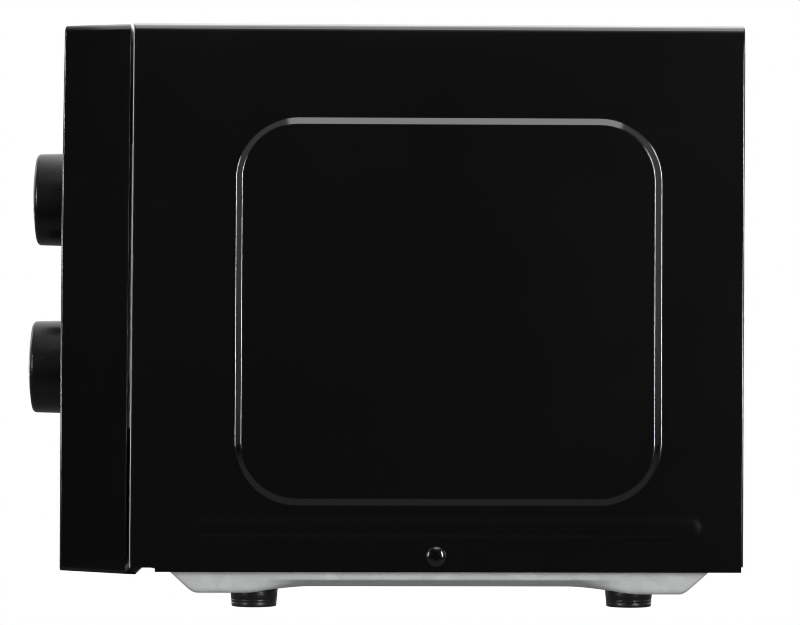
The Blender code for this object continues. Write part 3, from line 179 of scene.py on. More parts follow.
def softbox(name, place, aim, width, height, radiance):
    """A rectangular light that is seen in gloss but not by the camera."""
    data = bpy.data.lights.new(name, "AREA")
    data.shape = "RECTANGLE"
    data.size = width
    data.size_y = height
    data.energy = radiance * math.pi * width * height
    lamp = placed(name, data)
    lamp.location = place
    lamp.rotation_euler = (Vector(aim) - Vector(place)).to_track_quat("-Z", "Y").to_euler()
    lamp.visible_camera = False
    return lamp


def beside(azimuth, reach, height):
    """A place round the oven, by its angle from the camera's side."""
    a = math.radians(azimuth)
    return (reach * math.cos(a), reach * math.sin(a), height)


middle = (cad_low + cad_high) / 2
ROOF_Z, ROOF_Y, ROOF_DEPTH = 1.7, 0.25, 1.1
for name, x0, x1, radiance in (("skirt", 1.95, 2.9, 0.5), ("low", 1.06, 1.95, 3.4),
                               ("mid", 0.23, 1.06, 2.6), ("back", -1.3, 0.23, 3.6)):
    x = (x0 + x1) / 2
    softbox(f"roof_{name}", (x, ROOF_Y, ROOF_Z), (x, ROOF_Y, 0.0), x1 - x0, ROOF_DEPTH, radiance)
STRIP_REACH, STRIP_WIDTH = 2.0, 0.11
for name, azimuth, height, tall, radiance in (
        ("front", -43, 0.24, 1.1, 80.0), ("rear", 30, 0.24, 1.1, 105.0),
        ("far_front", -140, 0.13, 0.4, 14.0), ("far_rear", 145, 0.13, 0.4, 14.0)):
    softbox(f"strip_{name}", beside(azimuth, STRIP_REACH, height), middle, STRIP_WIDTH, tall, radiance)
softbox("door_fill", (-0.7, -2.1, 1.3), middle, 0.9, 1.3, 4.0)
fill = softbox("pan_fill", (1.5, 0.0, 0.62), middle, 0.7, 0.5, 20.0)
fill.visible_glossy = False

FLOOR_HALF, FLOOR_Z = 6.0, -0.0004
NEAR_UNTIL, FAR_FROM = 0.25, 0.38
FLOOR_GLOSS = 0.2          # what gloss sees near the oven
FLOOR_LIGHT = 0.35         # what lights matt undersides

floor_mesh = bpy.data.meshes.new("floor")
corners = [(sx * FLOOR_HALF, sy * FLOOR_HALF, FLOOR_Z) for sx, sy in ((-1, -1), (1, -1), (1, 1), (-1, 1))]
floor_mesh.from_pydata(corners, [], [(0, 1, 2, 3)])
floor = placed("floor", floor_mesh)
paper = bpy.data.materials.new("studio_paper")
paper.use_nodes = True
sheet = Nodes(paper.node_tree)
seen = sheet.node("LightPath", output="Is Camera Ray")
matt = sheet.node("LightPath", output="Is Diffuse Ray")
out_x = sheet.along(sheet.node("TexCoord", output="Object"), "X")
near = sheet.ramp(out_x, NEAR_UNTIL, FAR_FROM, 1.0, 0.0)
level = (matt * (FLOOR_LIGHT - FLOOR_GLOSS) + FLOOR_GLOSS) * near
level = level * (1 - seen) + seen * WHITE_BEHIND
glow = sheet.node("Emission", values={"Color": (1.0, 1.0, 1.0), "Strength": level})
sheet.node("OutputMaterial", values={"Surface": glow})
floor_mesh.materials.append(paper)

# ---- outer cover
# One sheet of 0.8 mm steel bent round the left side, the roof and the right side,
# with a field pressed out of each side and a bead under it. It is enamelled gloss
# black, and its rear edges fold in as a narrow flange that the rear screws go through.


class Finish(Nodes):
    """A named finish around one Principled shader."""

    def __init__(self, name, colour, roughness, metallic=0.0):
        self.material = bpy.data.materials.new(name)
        self.material.use_nodes = True
        super().__init__(self.material.node_tree)
        self.shader = self.tree.nodes.new("ShaderNodeBsdfPrincipled")
        self.node("OutputMaterial", values={"Surface": Wire(self.tree, self.shader.outputs[0])})
        self.set({"Base Color": colour, "Roughness": roughness, "Metallic": metallic})
        self.place = self.node("TexCoord", output="Object")

    def set(self, values):
        for key, value in values.items():
            plug(self.tree, self.shader.inputs[key], value)

    def noise(self, scale, detail=2.0, stretch=(1.0, 1.0, 1.0)):
        where = self.place
        if stretch != (1.0, 1.0, 1.0):
            where = self.node("Mapping", values={"Vector": where, "Scale": stretch})
        return self.node("TexNoise", values={"Vector": where, "Scale": scale, "Detail": detail})

    def blend(self, amount, dark, light):
        return self.node("Mix", {"data_type": "RGBA"}, {0: amount, 6: dark, 7: light}, output=2)

    def bump(self, height, strength, depth):
        self.set({"Normal": self.node("Bump", values={
            "Height": height, "Strength": strength, "Distance": depth})})


def enamel(name, dark, light, roughness, coat, peel=0.06):
    """Stoved paint on sheet: slight cloudiness and a fine orange peel."""
    finish = Finish(name, dark, roughness)
    cloud = finish.noise(7.0, 3.0)
    finish.set({
        "Base Color": finish.blend(cloud, dark, light),
        "Roughness": finish.noise(24.0, 3.0) * 0.08 + (roughness - 0.04),
        "Coat Weight": coat, "Coat Roughness": 0.12})
    finish.bump(finish.noise(1100.0, 1.0), peel, 0.00004)
    return finish.material


cover_paint = enamel("cover_enamel", (0.0012, 0.0012, 0.0013), (0.0018, 0.0018, 0.0019), 0.13, 0.5)

SHEET = 0.0008
SHARP = math.radians(32)
FIELD_RISE = 0.002
FIELD_CORNER = 0.028
FIELD_SLOPE = math.radians(35)
FIELD_FILLET = 0.0016
FIELD_LEAN = 0.0015        # back towards the top, as the cover's ends lean
FIELD_INSET = (0.0453, 0.0362, 0.0292, 0.0417)  # from the front, rear, low and top edges
BEAD = (0.0259, 0.0175, 0.0140, 0.0255)         # from the front and rear edges, low and high
BEAD_EDGE, BEAD_RISE = 0.0045, 0.00032
ROOF_BEND = 0.0042
ROOF_SPRING = (0.010, 0.0009)   # the wall leans in over this height, by this much
REAR_BEND = 0.0009
REAR_FLANGE = 0.014
FLANGE_BEND = 0.0005
REAR_STEP = 0.0024
NOTCH = (0.0106, 0.0019)
SCREW_HOLE = 0.0024


def rounded_loop(u0, u1, v0, v1, radii, steps=10):
    """Rectangle with a radius at each corner, from (u1, v1) round by (u0, v1)."""
    loop = []
    corners = ((u1, v1, 0, -1, -1), (u0, v1, 90, 1, -1), (u0, v0, 180, 1, 1), (u1, v0, 270, -1, 1))
    for (u, v, start, du, dv), radius in zip(corners, radii):
        for k in range(steps + 1):
            a = math.radians(start + 90 * k / steps)
            loop.append((u + radius * (du + math.cos(a)), v + radius * (dv + math.sin(a))))
    return loop


def pressed_profile(rise, slope, fillet, steps=7):
    """(distance in, height) across a pressed step: fillet, slope, fillet."""
    foot = [(fillet * math.sin(slope * k / steps), fillet * (1 - math.cos(slope * k / steps)))
            for k in range(steps + 1)]
    run = (rise - 2 * foot[-1][1]) / math.tan(slope)
    width = 2 * foot[-1][0] + run
    return foot + [(width - d, rise - h) for d, h in reversed(foot)]


def join_rings(bm, rings, closed=True):
    """Quads between neighbouring rings of vertices."""
    for below, above in zip(rings, rings[1:]):
        count = len(below)
        for k in range(count if closed else count - 1):
            j = (k + 1) % count
            bm.faces.new((below[k], below[j], above[j], above[k]))


def closed_rings(bm, rings):
    """A closed solid: rings joined in turn, with both ends capped."""
    join_rings(bm, rings)
    bm.faces.new(rings[0])
    bm.faces.new(rings[-1])
    bmesh.ops.recalc_face_normals(bm, faces=bm.faces)


def quarter(steps):
    """(sine, 1 - cosine) at even steps through a right angle."""
    return [(math.sin(a), 1 - math.cos(a)) for a in [math.pi / 2 * k / steps for k in range(steps + 1)]]


def circle(u, v, radius, count, start=0.0):
    """Points at equal steps round a circle."""
    return [(u + radius * math.cos(a), v + radius * math.sin(a))
            for a in [2 * math.pi * k / count + start for k in range(count)]]


def centre(node):
    """The middle of a node's box."""
    return [(a + b) / 2 for a, b in zip(*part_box(node))]


def piece(name, bm, material, crease=32):
    """A shown object from a bmesh, smooth but for its sharp edges."""
    mesh = bpy.data.meshes.new(name)
    bm.to_mesh(mesh)
    bm.free()
    mesh.materials.append(material)
    mesh.shade_smooth()
    mesh.set_sharp_from_angle(angle=math.radians(crease))
    return placed(name, mesh)


def evaluated_mesh(made):
    """An object's shape as a new mesh, with its modifiers in it."""
    graph = bpy.context.evaluated_depsgraph_get()
    return bpy.data.meshes.new_from_object(made.evaluated_get(graph))


def modify(made, kind, inputs=(), **settings):
    """Adds one modifier and bakes it into the object's own mesh."""
    step = made.modifiers.new(kind, kind)
    for key, value in settings.items():
        setattr(step, key, value)
    for key, value in inputs:
        step[key] = value
    mesh = evaluated_mesh(made)
    made.modifiers.clear()
    made.data = mesh
    return made


def thicken(made, wall):
    """Gives a sheet its wall, behind its faces."""
    modify(made, "SOLIDIFY", thickness=wall, offset=-1.0).data.set_sharp_from_angle(angle=SHARP)
    return made


def flatten_shading(made):
    """Lets the large faces set the shading, so that flat walls look flat."""
    return modify(made, "WEIGHTED_NORMAL", mode="FACE_AREA", weight=90, keep_sharp=True)


cover_low, cover_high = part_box("outer_cover")


def lean(z):
    """How far back the cover's ends stand at height z."""
    return 0.0001 + 0.0043 * (z - 0.06)


wall_x = cover_high.x - FIELD_RISE
field_profile = pressed_profile(FIELD_RISE, FIELD_SLOPE, FIELD_FILLET)
bead_profile = [(BEAD_EDGE * k / 8, BEAD_RISE * (1 - math.cos(math.pi * k / 8)) / 2) for k in range(9)]
_, screw_y, screw_z = centre("side_screw_right")


def inside(point, loop):
    """Whether a point lies within a closed outline."""
    x, y = point
    hit = False
    for (ax, ay), (bx, by) in zip(loop, loop[1:] + loop[:1]):
        if (ay > y) != (by > y) and x < (bx - ax) * (y - ay) / (by - ay) + ax:
            hit = not hit
    return hit


def fill_between(bm, outline, holes, lift):
    """Fills an outline, less its holes, with triangles; lift turns 2-D into 3-D."""
    spots, edges = [], []
    for loop in [outline] + holes:
        start = len(spots)
        spots += [Vector(p) for p in loop]
        edges += [(start + k, start + (k + 1) % len(loop)) for k in range(len(loop))]
    flat, _, faces, _, _, _ = delaunay_2d_cdt(spots, edges, [], 0, 1e-7)
    verts = [bm.verts.new(lift(p)) for p in flat]
    for face in faces:
        spot = sum((flat[k] for k in face), Vector((0, 0))) / len(face)
        if inside(spot, outline) and not any(inside(spot, hole) for hole in holes):
            bm.faces.new([verts[k] for k in face])


def cover_side(bm, sign):
    """One side: a flat wall with the field, the bead and the screw hole in it."""
    y0, y1 = cover_low.y, cover_high.y - REAR_BEND
    z0, z1 = cover_low.z, cover_high.z - ROOF_BEND - ROOF_SPRING[0]

    def pressed(edges, low, high, radius, profile, lead):
        a, b = y0 + edges[0], cover_high.y - edges[1]
        loops = []
        for inset, height in [(-lead, 0.0)] + profile + [(profile[-1][0] + lead, profile[-1][1])]:
            r = max(radius - inset, 0.0006)
            loop = rounded_loop(a + inset, b - inset, low + inset, high - inset, (r,) * 4, 14)
            loops.append(([(y + FIELD_LEAN * (z - (z0 + z1) / 2), z) for y, z in loop], height))
        rings = [[bm.verts.new((sign * (wall_x + height), y, z)) for y, z in loop] for loop, height in loops]
        join_rings(bm, rings)
        bm.faces.new(rings[-1])
        return loops[0][0]

    low, high = z0 + FIELD_INSET[2], cover_high.z - FIELD_INSET[3]
    field = pressed(FIELD_INSET, low, high, FIELD_CORNER, field_profile, 0.0008)
    low, high = BEAD[2:]
    bead = pressed(BEAD, z0 + low, z0 + high, (high - low) / 2, bead_profile, 0.0004)
    hole = circle(screw_y, screw_z, SCREW_HOLE, 24)
    outline = [(y0, z0 + NOTCH[1]), (y0 + NOTCH[0], z0 + NOTCH[1]), (y0 + NOTCH[0], z0),
               (y1, z0), (y1, z0 + REAR_STEP), (y1, z1), (y0, z1)]
    outline = [(y + lean(z), z) for y, z in outline]
    fill_between(bm, outline, [field, bead, hole], lambda p: (sign * wall_x, p.x, p.y))


def hood(width, top, low, bend, steps=9):
    """The cover's section at one station, from the right foot over to the left."""
    run, tip = ROOF_SPRING
    start = top - bend - run
    points = [(width, low), (width, start)]
    for k in range(1, 6):
        points.append((width - tip * (k / 5) ** 2, start + run * k / 5))
    first = math.atan(2 * tip / run)
    for k in range(1, steps + 1):
        a = first + (math.pi / 2 - first) * k / steps
        points.append((width - tip - bend * (math.cos(first) - math.cos(a)), top - bend + bend * math.sin(a)))
    return points + [(-x, z) for x, z in reversed(points)]


bm = bmesh.new()
for sign in (1, -1):
    cover_side(bm, sign)
top_z, low_z = cover_high.z, cover_low.z
roof = hood(wall_x, top_z, low_z, ROOF_BEND)[1:-1]
join_rings(bm, [[bm.verts.new((x, y + lean(z), z)) for x, z in roof]
                for y in (cover_low.y, cover_high.y - REAR_BEND)], closed=False)
rear = []
for sine, drop in quarter(9):
    inset, out = REAR_BEND * drop, REAR_BEND * sine
    y = cover_high.y - REAR_BEND + out
    section = hood(wall_x - inset, top_z - inset, low_z + REAR_STEP, ROOF_BEND - out)
    rear.append([bm.verts.new((x, y + lean(z), z)) for x, z in section])
flange = hood(wall_x - REAR_FLANGE, top_z - REAR_FLANGE, low_z + REAR_STEP, FLANGE_BEND)
rear.append([bm.verts.new((x, cover_high.y + lean(z), z)) for x, z in flange])
join_rings(bm, rear, closed=False)
bmesh.ops.remove_doubles(bm, verts=bm.verts, dist=0.00001)
bmesh.ops.recalc_face_normals(bm, faces=bm.faces)
cover = flatten_shading(thicken(piece("cover", bm, cover_paint), SHEET))
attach(cover, "oven_body")
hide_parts("outer_cover")

# ---- base pan
# A pan pressed from 1 mm galvanised sheet and left bare, so its zinc spangle shows.
# Its sides slope in below the cover, and its corners run down into pads for the feet.


def zinc(name):
    """Galvanised steel: pale crystals with slightly different gloss."""
    finish = Finish(name, (0.3, 0.31, 0.31), 0.45, 0.4)
    crystal = finish.node("TexVoronoi", {"feature": "F1"}, {"Vector": finish.place, "Scale": 170.0},
                          output="Color")
    shade = finish.node("SeparateColor", values={"Color": crystal})
    cloud = finish.noise(60.0, 4.0)
    finish.set({
        "Base Color": finish.blend(shade * 0.3 + cloud * 0.7, (0.34, 0.35, 0.355), (0.52, 0.53, 0.53)),
        "Roughness": shade * 0.1 + cloud * 0.1 + 0.38})
    finish.bump(cloud, 0.1, 0.00006)
    return finish.material


galvanised = zinc("galvanised_sheet")

PAN_T = 0.001
PAN_DROP = 0.0078          # the pan's floor below its rim
PAN_RIM_X = 0.0024         # rim in from the cover's side
PAN_ENDS = (0.0169, 0.0150)
PAN_INNER_X = 0.012        # no stations nearer the middle than this
WALL_STEEP = (0.0024, 0.0038)
WALL_FOOT = 0.018
PAD_WALL = 0.0068
PAD_LENGTH = (0.030, 0.062)
PAD_RISES = (0.0013, 0.0008)
UPSTAND = 0.014
FRONT_LIP_RISE = 0.0034

base_low, base_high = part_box("base_plate")
foot_x, front_foot_y, _ = centre("foot_front_right")
foot_ys = (front_foot_y, centre("foot_rear_right")[1])
rim_z = cover_low.z
pad_drops = [rim_z - base_low.z - rise for rise in PAD_RISES]
pan_y0, pan_y1 = cover_low.y + PAN_ENDS[0], cover_high.y - PAN_ENDS[1]
pan_x = wall_x - PAN_RIM_X


def ease(value, low, high):
    """Smooth step from 0 at low to 1 at high."""
    t = min(max((value - low) / (high - low), 0.0), 1.0)
    return t * t * (3 - 2 * t)


def soft_min(a, b, reach):
    """The smaller of two depths, with a round corner of about reach."""
    h = max(reach - abs(a - b), 0.0) / reach
    return min(a, b) - h * h * reach / 4


def pan_depth(x, y):
    """Depth of the pan's skin below its rim."""
    d = max(pan_x - abs(x), 0.0)
    steep, drop = WALL_STEEP
    shallow = drop + (d - steep) * (PAN_DROP - drop) / (WALL_FOOT - steep)
    plain = soft_min(min(d * drop / steep, shallow) if d > steep else d * drop / steep, PAN_DROP, 0.0016)
    pad_drop = pad_drops[0] + (pad_drops[1] - pad_drops[0]) * ease(y, foot_ys[0], foot_ys[1])
    pad = soft_min(d * pad_drop / PAD_WALL, pad_drop, 0.003)
    near = ease(abs(x), foot_x - PAD_LENGTH[1] + 0.02, foot_x - PAD_LENGTH[0] + 0.012)
    front = 1 - ease(y, foot_ys[0] - 0.004, foot_ys[0] + 0.026)
    back = ease(y, foot_ys[1] - 0.030, foot_ys[1] + 0.002)
    depth = plain + (pad - plain) * max(front, back) * near
    ends = min(y - pan_y0, pan_y1 - y)
    return soft_min(depth, ends, 0.0022) if ends > 0 else 0.0


def graded(low, high, fine, coarse, reach, marks=()):
    """Stations from low to high, close together near both ends and marks."""
    stations = [low]
    while stations[-1] < high - 1e-6:
        here = stations[-1]
        gap = min([abs(here - m) for m in (low, high, *marks)])
        step = fine + (coarse - fine) * min(max((gap - reach) / 0.02, 0.0), 1.0)
        stations.append(min(here + step, high))
    return stations


bm = bmesh.new()
half_xs = [x for x in graded(0.0, pan_x, 0.0006, 0.006, 0.010, (pan_x - 0.005,)) if x > PAN_INNER_X]
xs = [-x for x in reversed(half_xs)] + half_xs
ys = graded(pan_y0, pan_y1, 0.0008, 0.003, 0.013)
grid = [[bm.verts.new((x, y, rim_z - max(pan_depth(x, y), 0.0))) for x in xs] for y in ys]
join_rings(bm, grid, closed=False)
for sign, column in ((-1, 0), (1, -1)):
    edge_x = sign * (wall_x - 0.0014)
    inner = [row[column] for row in grid]
    turned_up = [[bm.verts.new((edge_x, v.co.y, z)) for v in inner] for z in (rim_z, rim_z + UPSTAND)]
    join_rings(bm, [inner, *turned_up], closed=False)
for row, y, lift in ((grid[0], cover_low.y + 0.0006, FRONT_LIP_RISE), (grid[-1], base_high.y, 0.0)):
    lip = [bm.verts.new((v.co.x, y, rim_z + lift)) for v in row]
    join_rings(bm, [row, lip], closed=False)
bmesh.ops.recalc_face_normals(bm, faces=bm.faces)
if sum(f.normal.z for f in bm.faces) > 0:
    bmesh.ops.reverse_faces(bm, faces=bm.faces)
pan = thicken(piece("base_pan", bm, galvanised, crease=50), PAN_T)
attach(pan, "oven_body")
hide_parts("base_plate")

# ---- feet
# Four hard black feet, turned slightly smaller towards the table, with two fine rings
# round each and a small chamfer at the bottom. A stem snaps each one into its pad.


def moulding(name, colour, roughness, grain=900.0, depth=0.00003, wear=0.05, shine=0.5):
    """Moulded plastic: fine spark texture, a little uneven in gloss."""
    finish = Finish(name, colour, roughness)
    lighter = tuple(min(c * 1.4, 1.0) for c in colour)
    finish.set({
        "Base Color": finish.blend(finish.noise(30.0, 4.0), colour, lighter),
        "Roughness": finish.noise(45.0, 3.0) * wear + (roughness - wear / 2),
        "Specular IOR Level": shine})
    finish.bump(finish.noise(grain, 2.0), 0.35, depth)
    return finish.material


foot_black = moulding("foot_moulding", (0.004, 0.004, 0.0044), 0.36, 700.0, shine=0.35)


def turned(bm, profile, u0, v0, axis="Z", steps=64):
    """Closed surface of revolution from (radius, place along the axis) points."""
    rings = []
    for radius, w in profile:
        rings.append([bm.verts.new((u, v, w) if axis == "Z" else (u, w, v))
                      for u, v in circle(u0, v0, radius, steps)])
    closed_rings(bm, rings)


def turned_piece(name, profile, u0, v0, axis, steps, material, crease=32):
    """A piece that is one surface of revolution."""
    bm = bmesh.new()
    turned(bm, profile, u0, v0, axis, steps)
    return piece(name, bm, material, crease)


FOOT_TOP_R, FOOT_LOW_R = 0.0109, 0.0102
FOOT_RINGS, RING_CUT = (0.0022, 0.0034), 0.00012
PAD_SINK = 0.0022          # the foot's top edge above the pad's skin
STEM_R, STEM_BARB_R = 0.0034, 0.0046
for node in ("foot_front_left", "foot_front_right", "foot_rear_left", "foot_rear_right"):
    low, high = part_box(node)
    x, y, _ = centre(node)
    top = base_low.z + PAD_SINK
    profile = [(0.004, low.z), (0.0094, low.z),
               (FOOT_LOW_R - 0.0001, low.z + 0.0002), (FOOT_LOW_R, low.z + 0.0006)]
    for at in FOOT_RINGS:
        r = FOOT_LOW_R + (FOOT_TOP_R - FOOT_LOW_R) * at / top
        profile += [(r, at - 0.0003), (r - RING_CUT, at - 0.0001),
                    (r - RING_CUT, at + 0.0001), (r, at + 0.0003)]
    profile += [(FOOT_TOP_R, top - 0.0003), (FOOT_TOP_R - 0.0003, top), (STEM_R, top),
                (STEM_R, high.z - 0.003), (STEM_BARB_R, high.z - 0.0028), (0.0024, high.z)]
    made = turned_piece(node.replace("foot", "moulded_foot"), profile, x, y, "Z", 64, foot_black, 50)
    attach(made, "oven_body")
    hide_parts(node)

# ---- cover screws
# Six black cross-head screws with domed heads: one in each side of the cover and four
# in its rear flange. One head is shaped once and set at each place.


def metal(name, colour, roughness, metallic=1.0, grain=(1.0, 1.0, 1.0), scale=400.0, shine=0.5):
    """Bare or plated metal with fine drawn or rolled grain."""
    finish = Finish(name, colour, roughness, metallic)
    streak = finish.noise(scale, 3.0, grain)
    lighter = tuple(min(c * 1.25, 1.0) for c in colour)
    finish.set({
        "Base Color": finish.blend(streak, colour, lighter),
        "Roughness": streak * 0.14 + (roughness - 0.07),
        "Specular IOR Level": shine})
    finish.bump(streak, 0.15, 0.00002)
    return finish.material


screw_black = metal("black_oxide", (0.0015, 0.0015, 0.0016), 0.11, 0.0, shine=0.6)

HEAD_R, HEAD_H = 0.0045, 0.0017
HEAD_RIM = 0.15            # share of the head's height that stands upright at its edge
SHANK_R, SHANK_END = 0.0019, -0.006
ARM, NARROW = 0.0025, 0.0005
CROSS_DEPTH, CROSS_TAPER = 0.0011, 0.45
REAR_SEAT = 0.0004         # rear heads sit in shallow dimples


def subtract(made, cutters):
    """Cuts closed meshes out of an object."""
    for cutter in cutters:
        modify(made, "BOOLEAN", operation="DIFFERENCE", solver="EXACT", object=cutter)
        bpy.data.objects.remove(cutter, do_unlink=True)
    made.data.shade_smooth()
    made.data.set_sharp_from_angle(angle=SHARP)


def block(name, x0, x1, y0, y1, z0, z1):
    """A plain closed box, used as a cutter."""
    bm = bmesh.new()
    closed_rings(bm, [[bm.verts.new(p) for p in ((x0, y0, z), (x1, y0, z), (x1, y1, z), (x0, y1, z))]
                      for z in (z0, z1)])
    return piece(name, bm, cover_paint)


dome = [(HEAD_R * sine, HEAD_H * (1 - (1 - HEAD_RIM) * drop)) for sine, drop in quarter(10)[1:]]
profile = [(0.00005, HEAD_H)] + dome + [(HEAD_R - 0.0001, 0.0), (SHANK_R, 0.0), (SHANK_R, SHANK_END)]
head = turned_piece("screw_head", profile, 0, 0, "Z", 40, screw_black, 40)
cutters = []
for wide, deep in ((ARM, NARROW), (NARROW, ARM)):
    bm = bmesh.new()
    rings = []
    for z, share in ((HEAD_H + 0.0004, 1.0), (HEAD_H - CROSS_DEPTH, CROSS_TAPER)):
        a, b = (wide * share, deep) if wide > deep else (wide, deep * share)
        rings.append([bm.verts.new((x, y, z)) for x, y in ((a, b), (-a, b), (-a, -b), (a, -b))])
    closed_rings(bm, rings)
    cutters.append(piece("cross", bm, screw_black))
subtract(head, cutters)


def coat(mesh, material):
    """Leaves one material on a mesh."""
    mesh.materials.clear()
    mesh.materials.append(material)


def set_copies(name, places, master, material):
    """Sets a master shape at (place, outward direction) points with Geometry Nodes."""
    mesh = bpy.data.meshes.new(name)
    mesh.from_pydata([p for p, _ in places], [], [])
    facing = mesh.attributes.new("facing", "FLOAT_VECTOR", "POINT")
    facing.data.foreach_set("vector", [c for _, d in places for c in d])
    made = placed(name, mesh)
    tree = bpy.data.node_groups.new(name + "_nodes", "GeometryNodeTree")
    for socket, way, kind in (("Geometry", "INPUT", "Geometry"), ("Shape", "INPUT", "Object"),
                              ("Geometry", "OUTPUT", "Geometry")):
        tree.interface.new_socket(socket, in_out=way, socket_type="NodeSocket" + kind)
    add = tree.nodes.new
    source, sink = add("NodeGroupInput"), add("NodeGroupOutput")
    info = add("GeometryNodeObjectInfo")
    named = add("GeometryNodeInputNamedAttribute")
    named.data_type = "FLOAT_VECTOR"
    named.inputs["Name"].default_value = "facing"
    turn = add("FunctionNodeAlignRotationToVector")
    turn.axis = "Z"
    copies = add("GeometryNodeInstanceOnPoints")
    real, paint = add("GeometryNodeRealizeInstances"), add("GeometryNodeSetMaterial")
    paint.inputs["Material"].default_value = material
    for giver, output, taker, entry in (
            (source, "Shape", info, "Object"), (source, "Geometry", copies, "Points"),
            (info, "Geometry", copies, "Instance"), (named, "Attribute", turn, "Vector"),
            (turn, "Rotation", copies, "Rotation"), (copies, "Instances", real, "Geometry"),
            (real, "Geometry", paint, "Geometry"), (paint, "Geometry", sink, 0)):
        tree.links.new(giver.outputs[output], taker.inputs[entry])
    shape = next(s.identifier for s in tree.interface.items_tree if s.name == "Shape")
    modify(made, "NODES", [(shape, master)], node_group=tree)
    bpy.data.node_groups.remove(tree)
    coat(made.data, material)
    return made


screw_places = [((side * wall_x, screw_y, screw_z), (side, 0, 0)) for side in (1, -1)]
rear_nodes = [f"rear_screw_{k}" for k in (1, 2, 3, 4)]
for node in rear_nodes:
    x, _, z = centre(node)
    screw_places.append(((x, cover_high.y + lean(z) - REAR_SEAT, z), (0, 1, 0)))
screws = set_copies("cover_screws", screw_places, head, screw_black)
bpy.data.objects.remove(head, do_unlink=True)
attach(screws, "oven_body")
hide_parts("side_screw_right", "side_screw_left", *rear_nodes)

# ---- front plate and cavity
# The chassis front is light grey painted sheet, seen as a thin line at the seam and as
# the rim of the cavity; its grey here is set much darker, as painted shade for the seam. The cavity box
# behind it is sprayed with pale grey enamel.

# painted shade: the front plate's grey is far darker than the cavity's pale grey, so the narrow seam where it
# shows reads as shaded
plate_grey_seam_shade = enamel("plate_paint_seam_shade", (0.10, 0.102, 0.103), (0.13, 0.132, 0.133), 0.42, 0.2)
cavity_grey = enamel("cavity_paint", (0.33, 0.34, 0.34), (0.44, 0.45, 0.45), 0.34, 0.3, 0.12)


def dress(material, *nodes):
    """Gives CAD nodes their finish."""
    for node in nodes:
        coat(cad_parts[node].data, material)


STRIP_IN, STRIP_OUT = 0.0003, -0.0001   # thin the strip that shows at the seam
plate_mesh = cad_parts["front_plate"].data.copy()
plate_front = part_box("front_plate")[0].y
for vertex in plate_mesh.vertices:
    if abs(vertex.co.x) > wall_x - 0.0008:
        vertex.co.y += lean(vertex.co.z) + (STRIP_IN if vertex.co.y < plate_front + 0.0001 else STRIP_OUT)
coat(plate_mesh, plate_grey_seam_shade)
plate = placed("front_sheet", plate_mesh)
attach(plate, "oven_body")
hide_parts("front_plate")
dress(cavity_grey, "cavity_liner")

# ---- control panel
# A moulded box, open at the back, in satin black. Its face leans back a little near the
# top, all its edges are rounded, and a thin lip at the foot runs under the front plate.

panel_black = moulding("panel_moulding", (0.0009, 0.0009, 0.0010), 0.17, 1500.0, 0.00001)

FACE_RAKE = 0.0012
EDGE_ROUND = 0.0016
TOP_ROUND = 0.0034
PANEL_TOP_DROP = 0.0006
TOP_SAG, FOOT_RISE = 0.0010, 0.0016     # rings slope: the top at the front, the foot at the rear
WALL = 0.0025
GAP = 0.0005
THROUGH = 0.01             # how far cutters reach past a surface
FLANGE, FLANGE_T = 0.018, 0.0018
SHAFT_HOLE_R = 0.004
BAR_H = 0.030
panel_low, panel_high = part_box("control_panel")
door_low, door_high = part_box("door_frame")
face_y = panel_low.y
panel_rear = door_high.y
panel_foot = panel_low.z + 0.0017


def face_rake(z):
    """How far the front leans back at height z."""
    half = (panel_foot + panel_high.z) / 2
    return FACE_RAKE * max((z - half) / (panel_high.z - half), 0.0) ** 1.5


def moulded_slab(name, x0, x1, radii, rear_lean=0.0):
    """A raked slab with rounded corners and edges, stacked up in level rings."""
    bm = bmesh.new()
    bottom, top = panel_foot, panel_high.z - PANEL_TOP_DROP
    arc = quarter(8)
    stations = [(bottom + EDGE_ROUND * (1 - sine), EDGE_ROUND * drop) for sine, drop in reversed(arc)]
    stations += [(bottom + 0.004 + (top - bottom - 0.009) * k / 16, 0.0) for k in range(17)]
    stations += [(top - TOP_ROUND * (1 - sine), TOP_ROUND * drop) for sine, drop in arc]
    rings = []
    for z, inset in stations:
        front_y = face_y + face_rake(z) + inset * 0.35
        back_y = panel_rear + rear_lean * (z - bottom) / (top - bottom) - inset * 0.12
        shrunk = [max(r - inset, 0.00008) for r in radii]
        loop = rounded_loop(x0 + inset, x1 - inset, front_y, back_y, shrunk, 8)
        ring = []
        for x, y in loop:
            back = (y - face_y) / (panel_rear - face_y)
            upper = ease(z, top - 0.03, top)
            lower = 1 - ease(z, bottom, bottom + 0.03)
            ring.append(bm.verts.new((x, y, z - TOP_SAG * (1 - back) * upper - FOOT_RISE * back * lower)))
        rings.append(ring)
    closed_rings(bm, rings)
    return piece(name, bm, panel_black)


def soft_block(name, x0, x1, y0, y1, z0, z1, radius, edge, material):
    """A block whose face at y0 has rounded corners and edges."""
    bm = bmesh.new()
    rings = []
    for inset, y in [(edge * (1 - sine), y0 + edge * drop) for sine, drop in quarter(5)] + [(0.0, y1)]:
        corners = [max(radius - inset, 0.0001)] * 4
        loop = rounded_loop(x0 + inset, x1 - inset, z0 + inset, z1 - inset, corners, 8)
        rings.append([bm.verts.new((x, y, z)) for x, z in loop])
    closed_rings(bm, rings)
    return piece(name, bm, material)


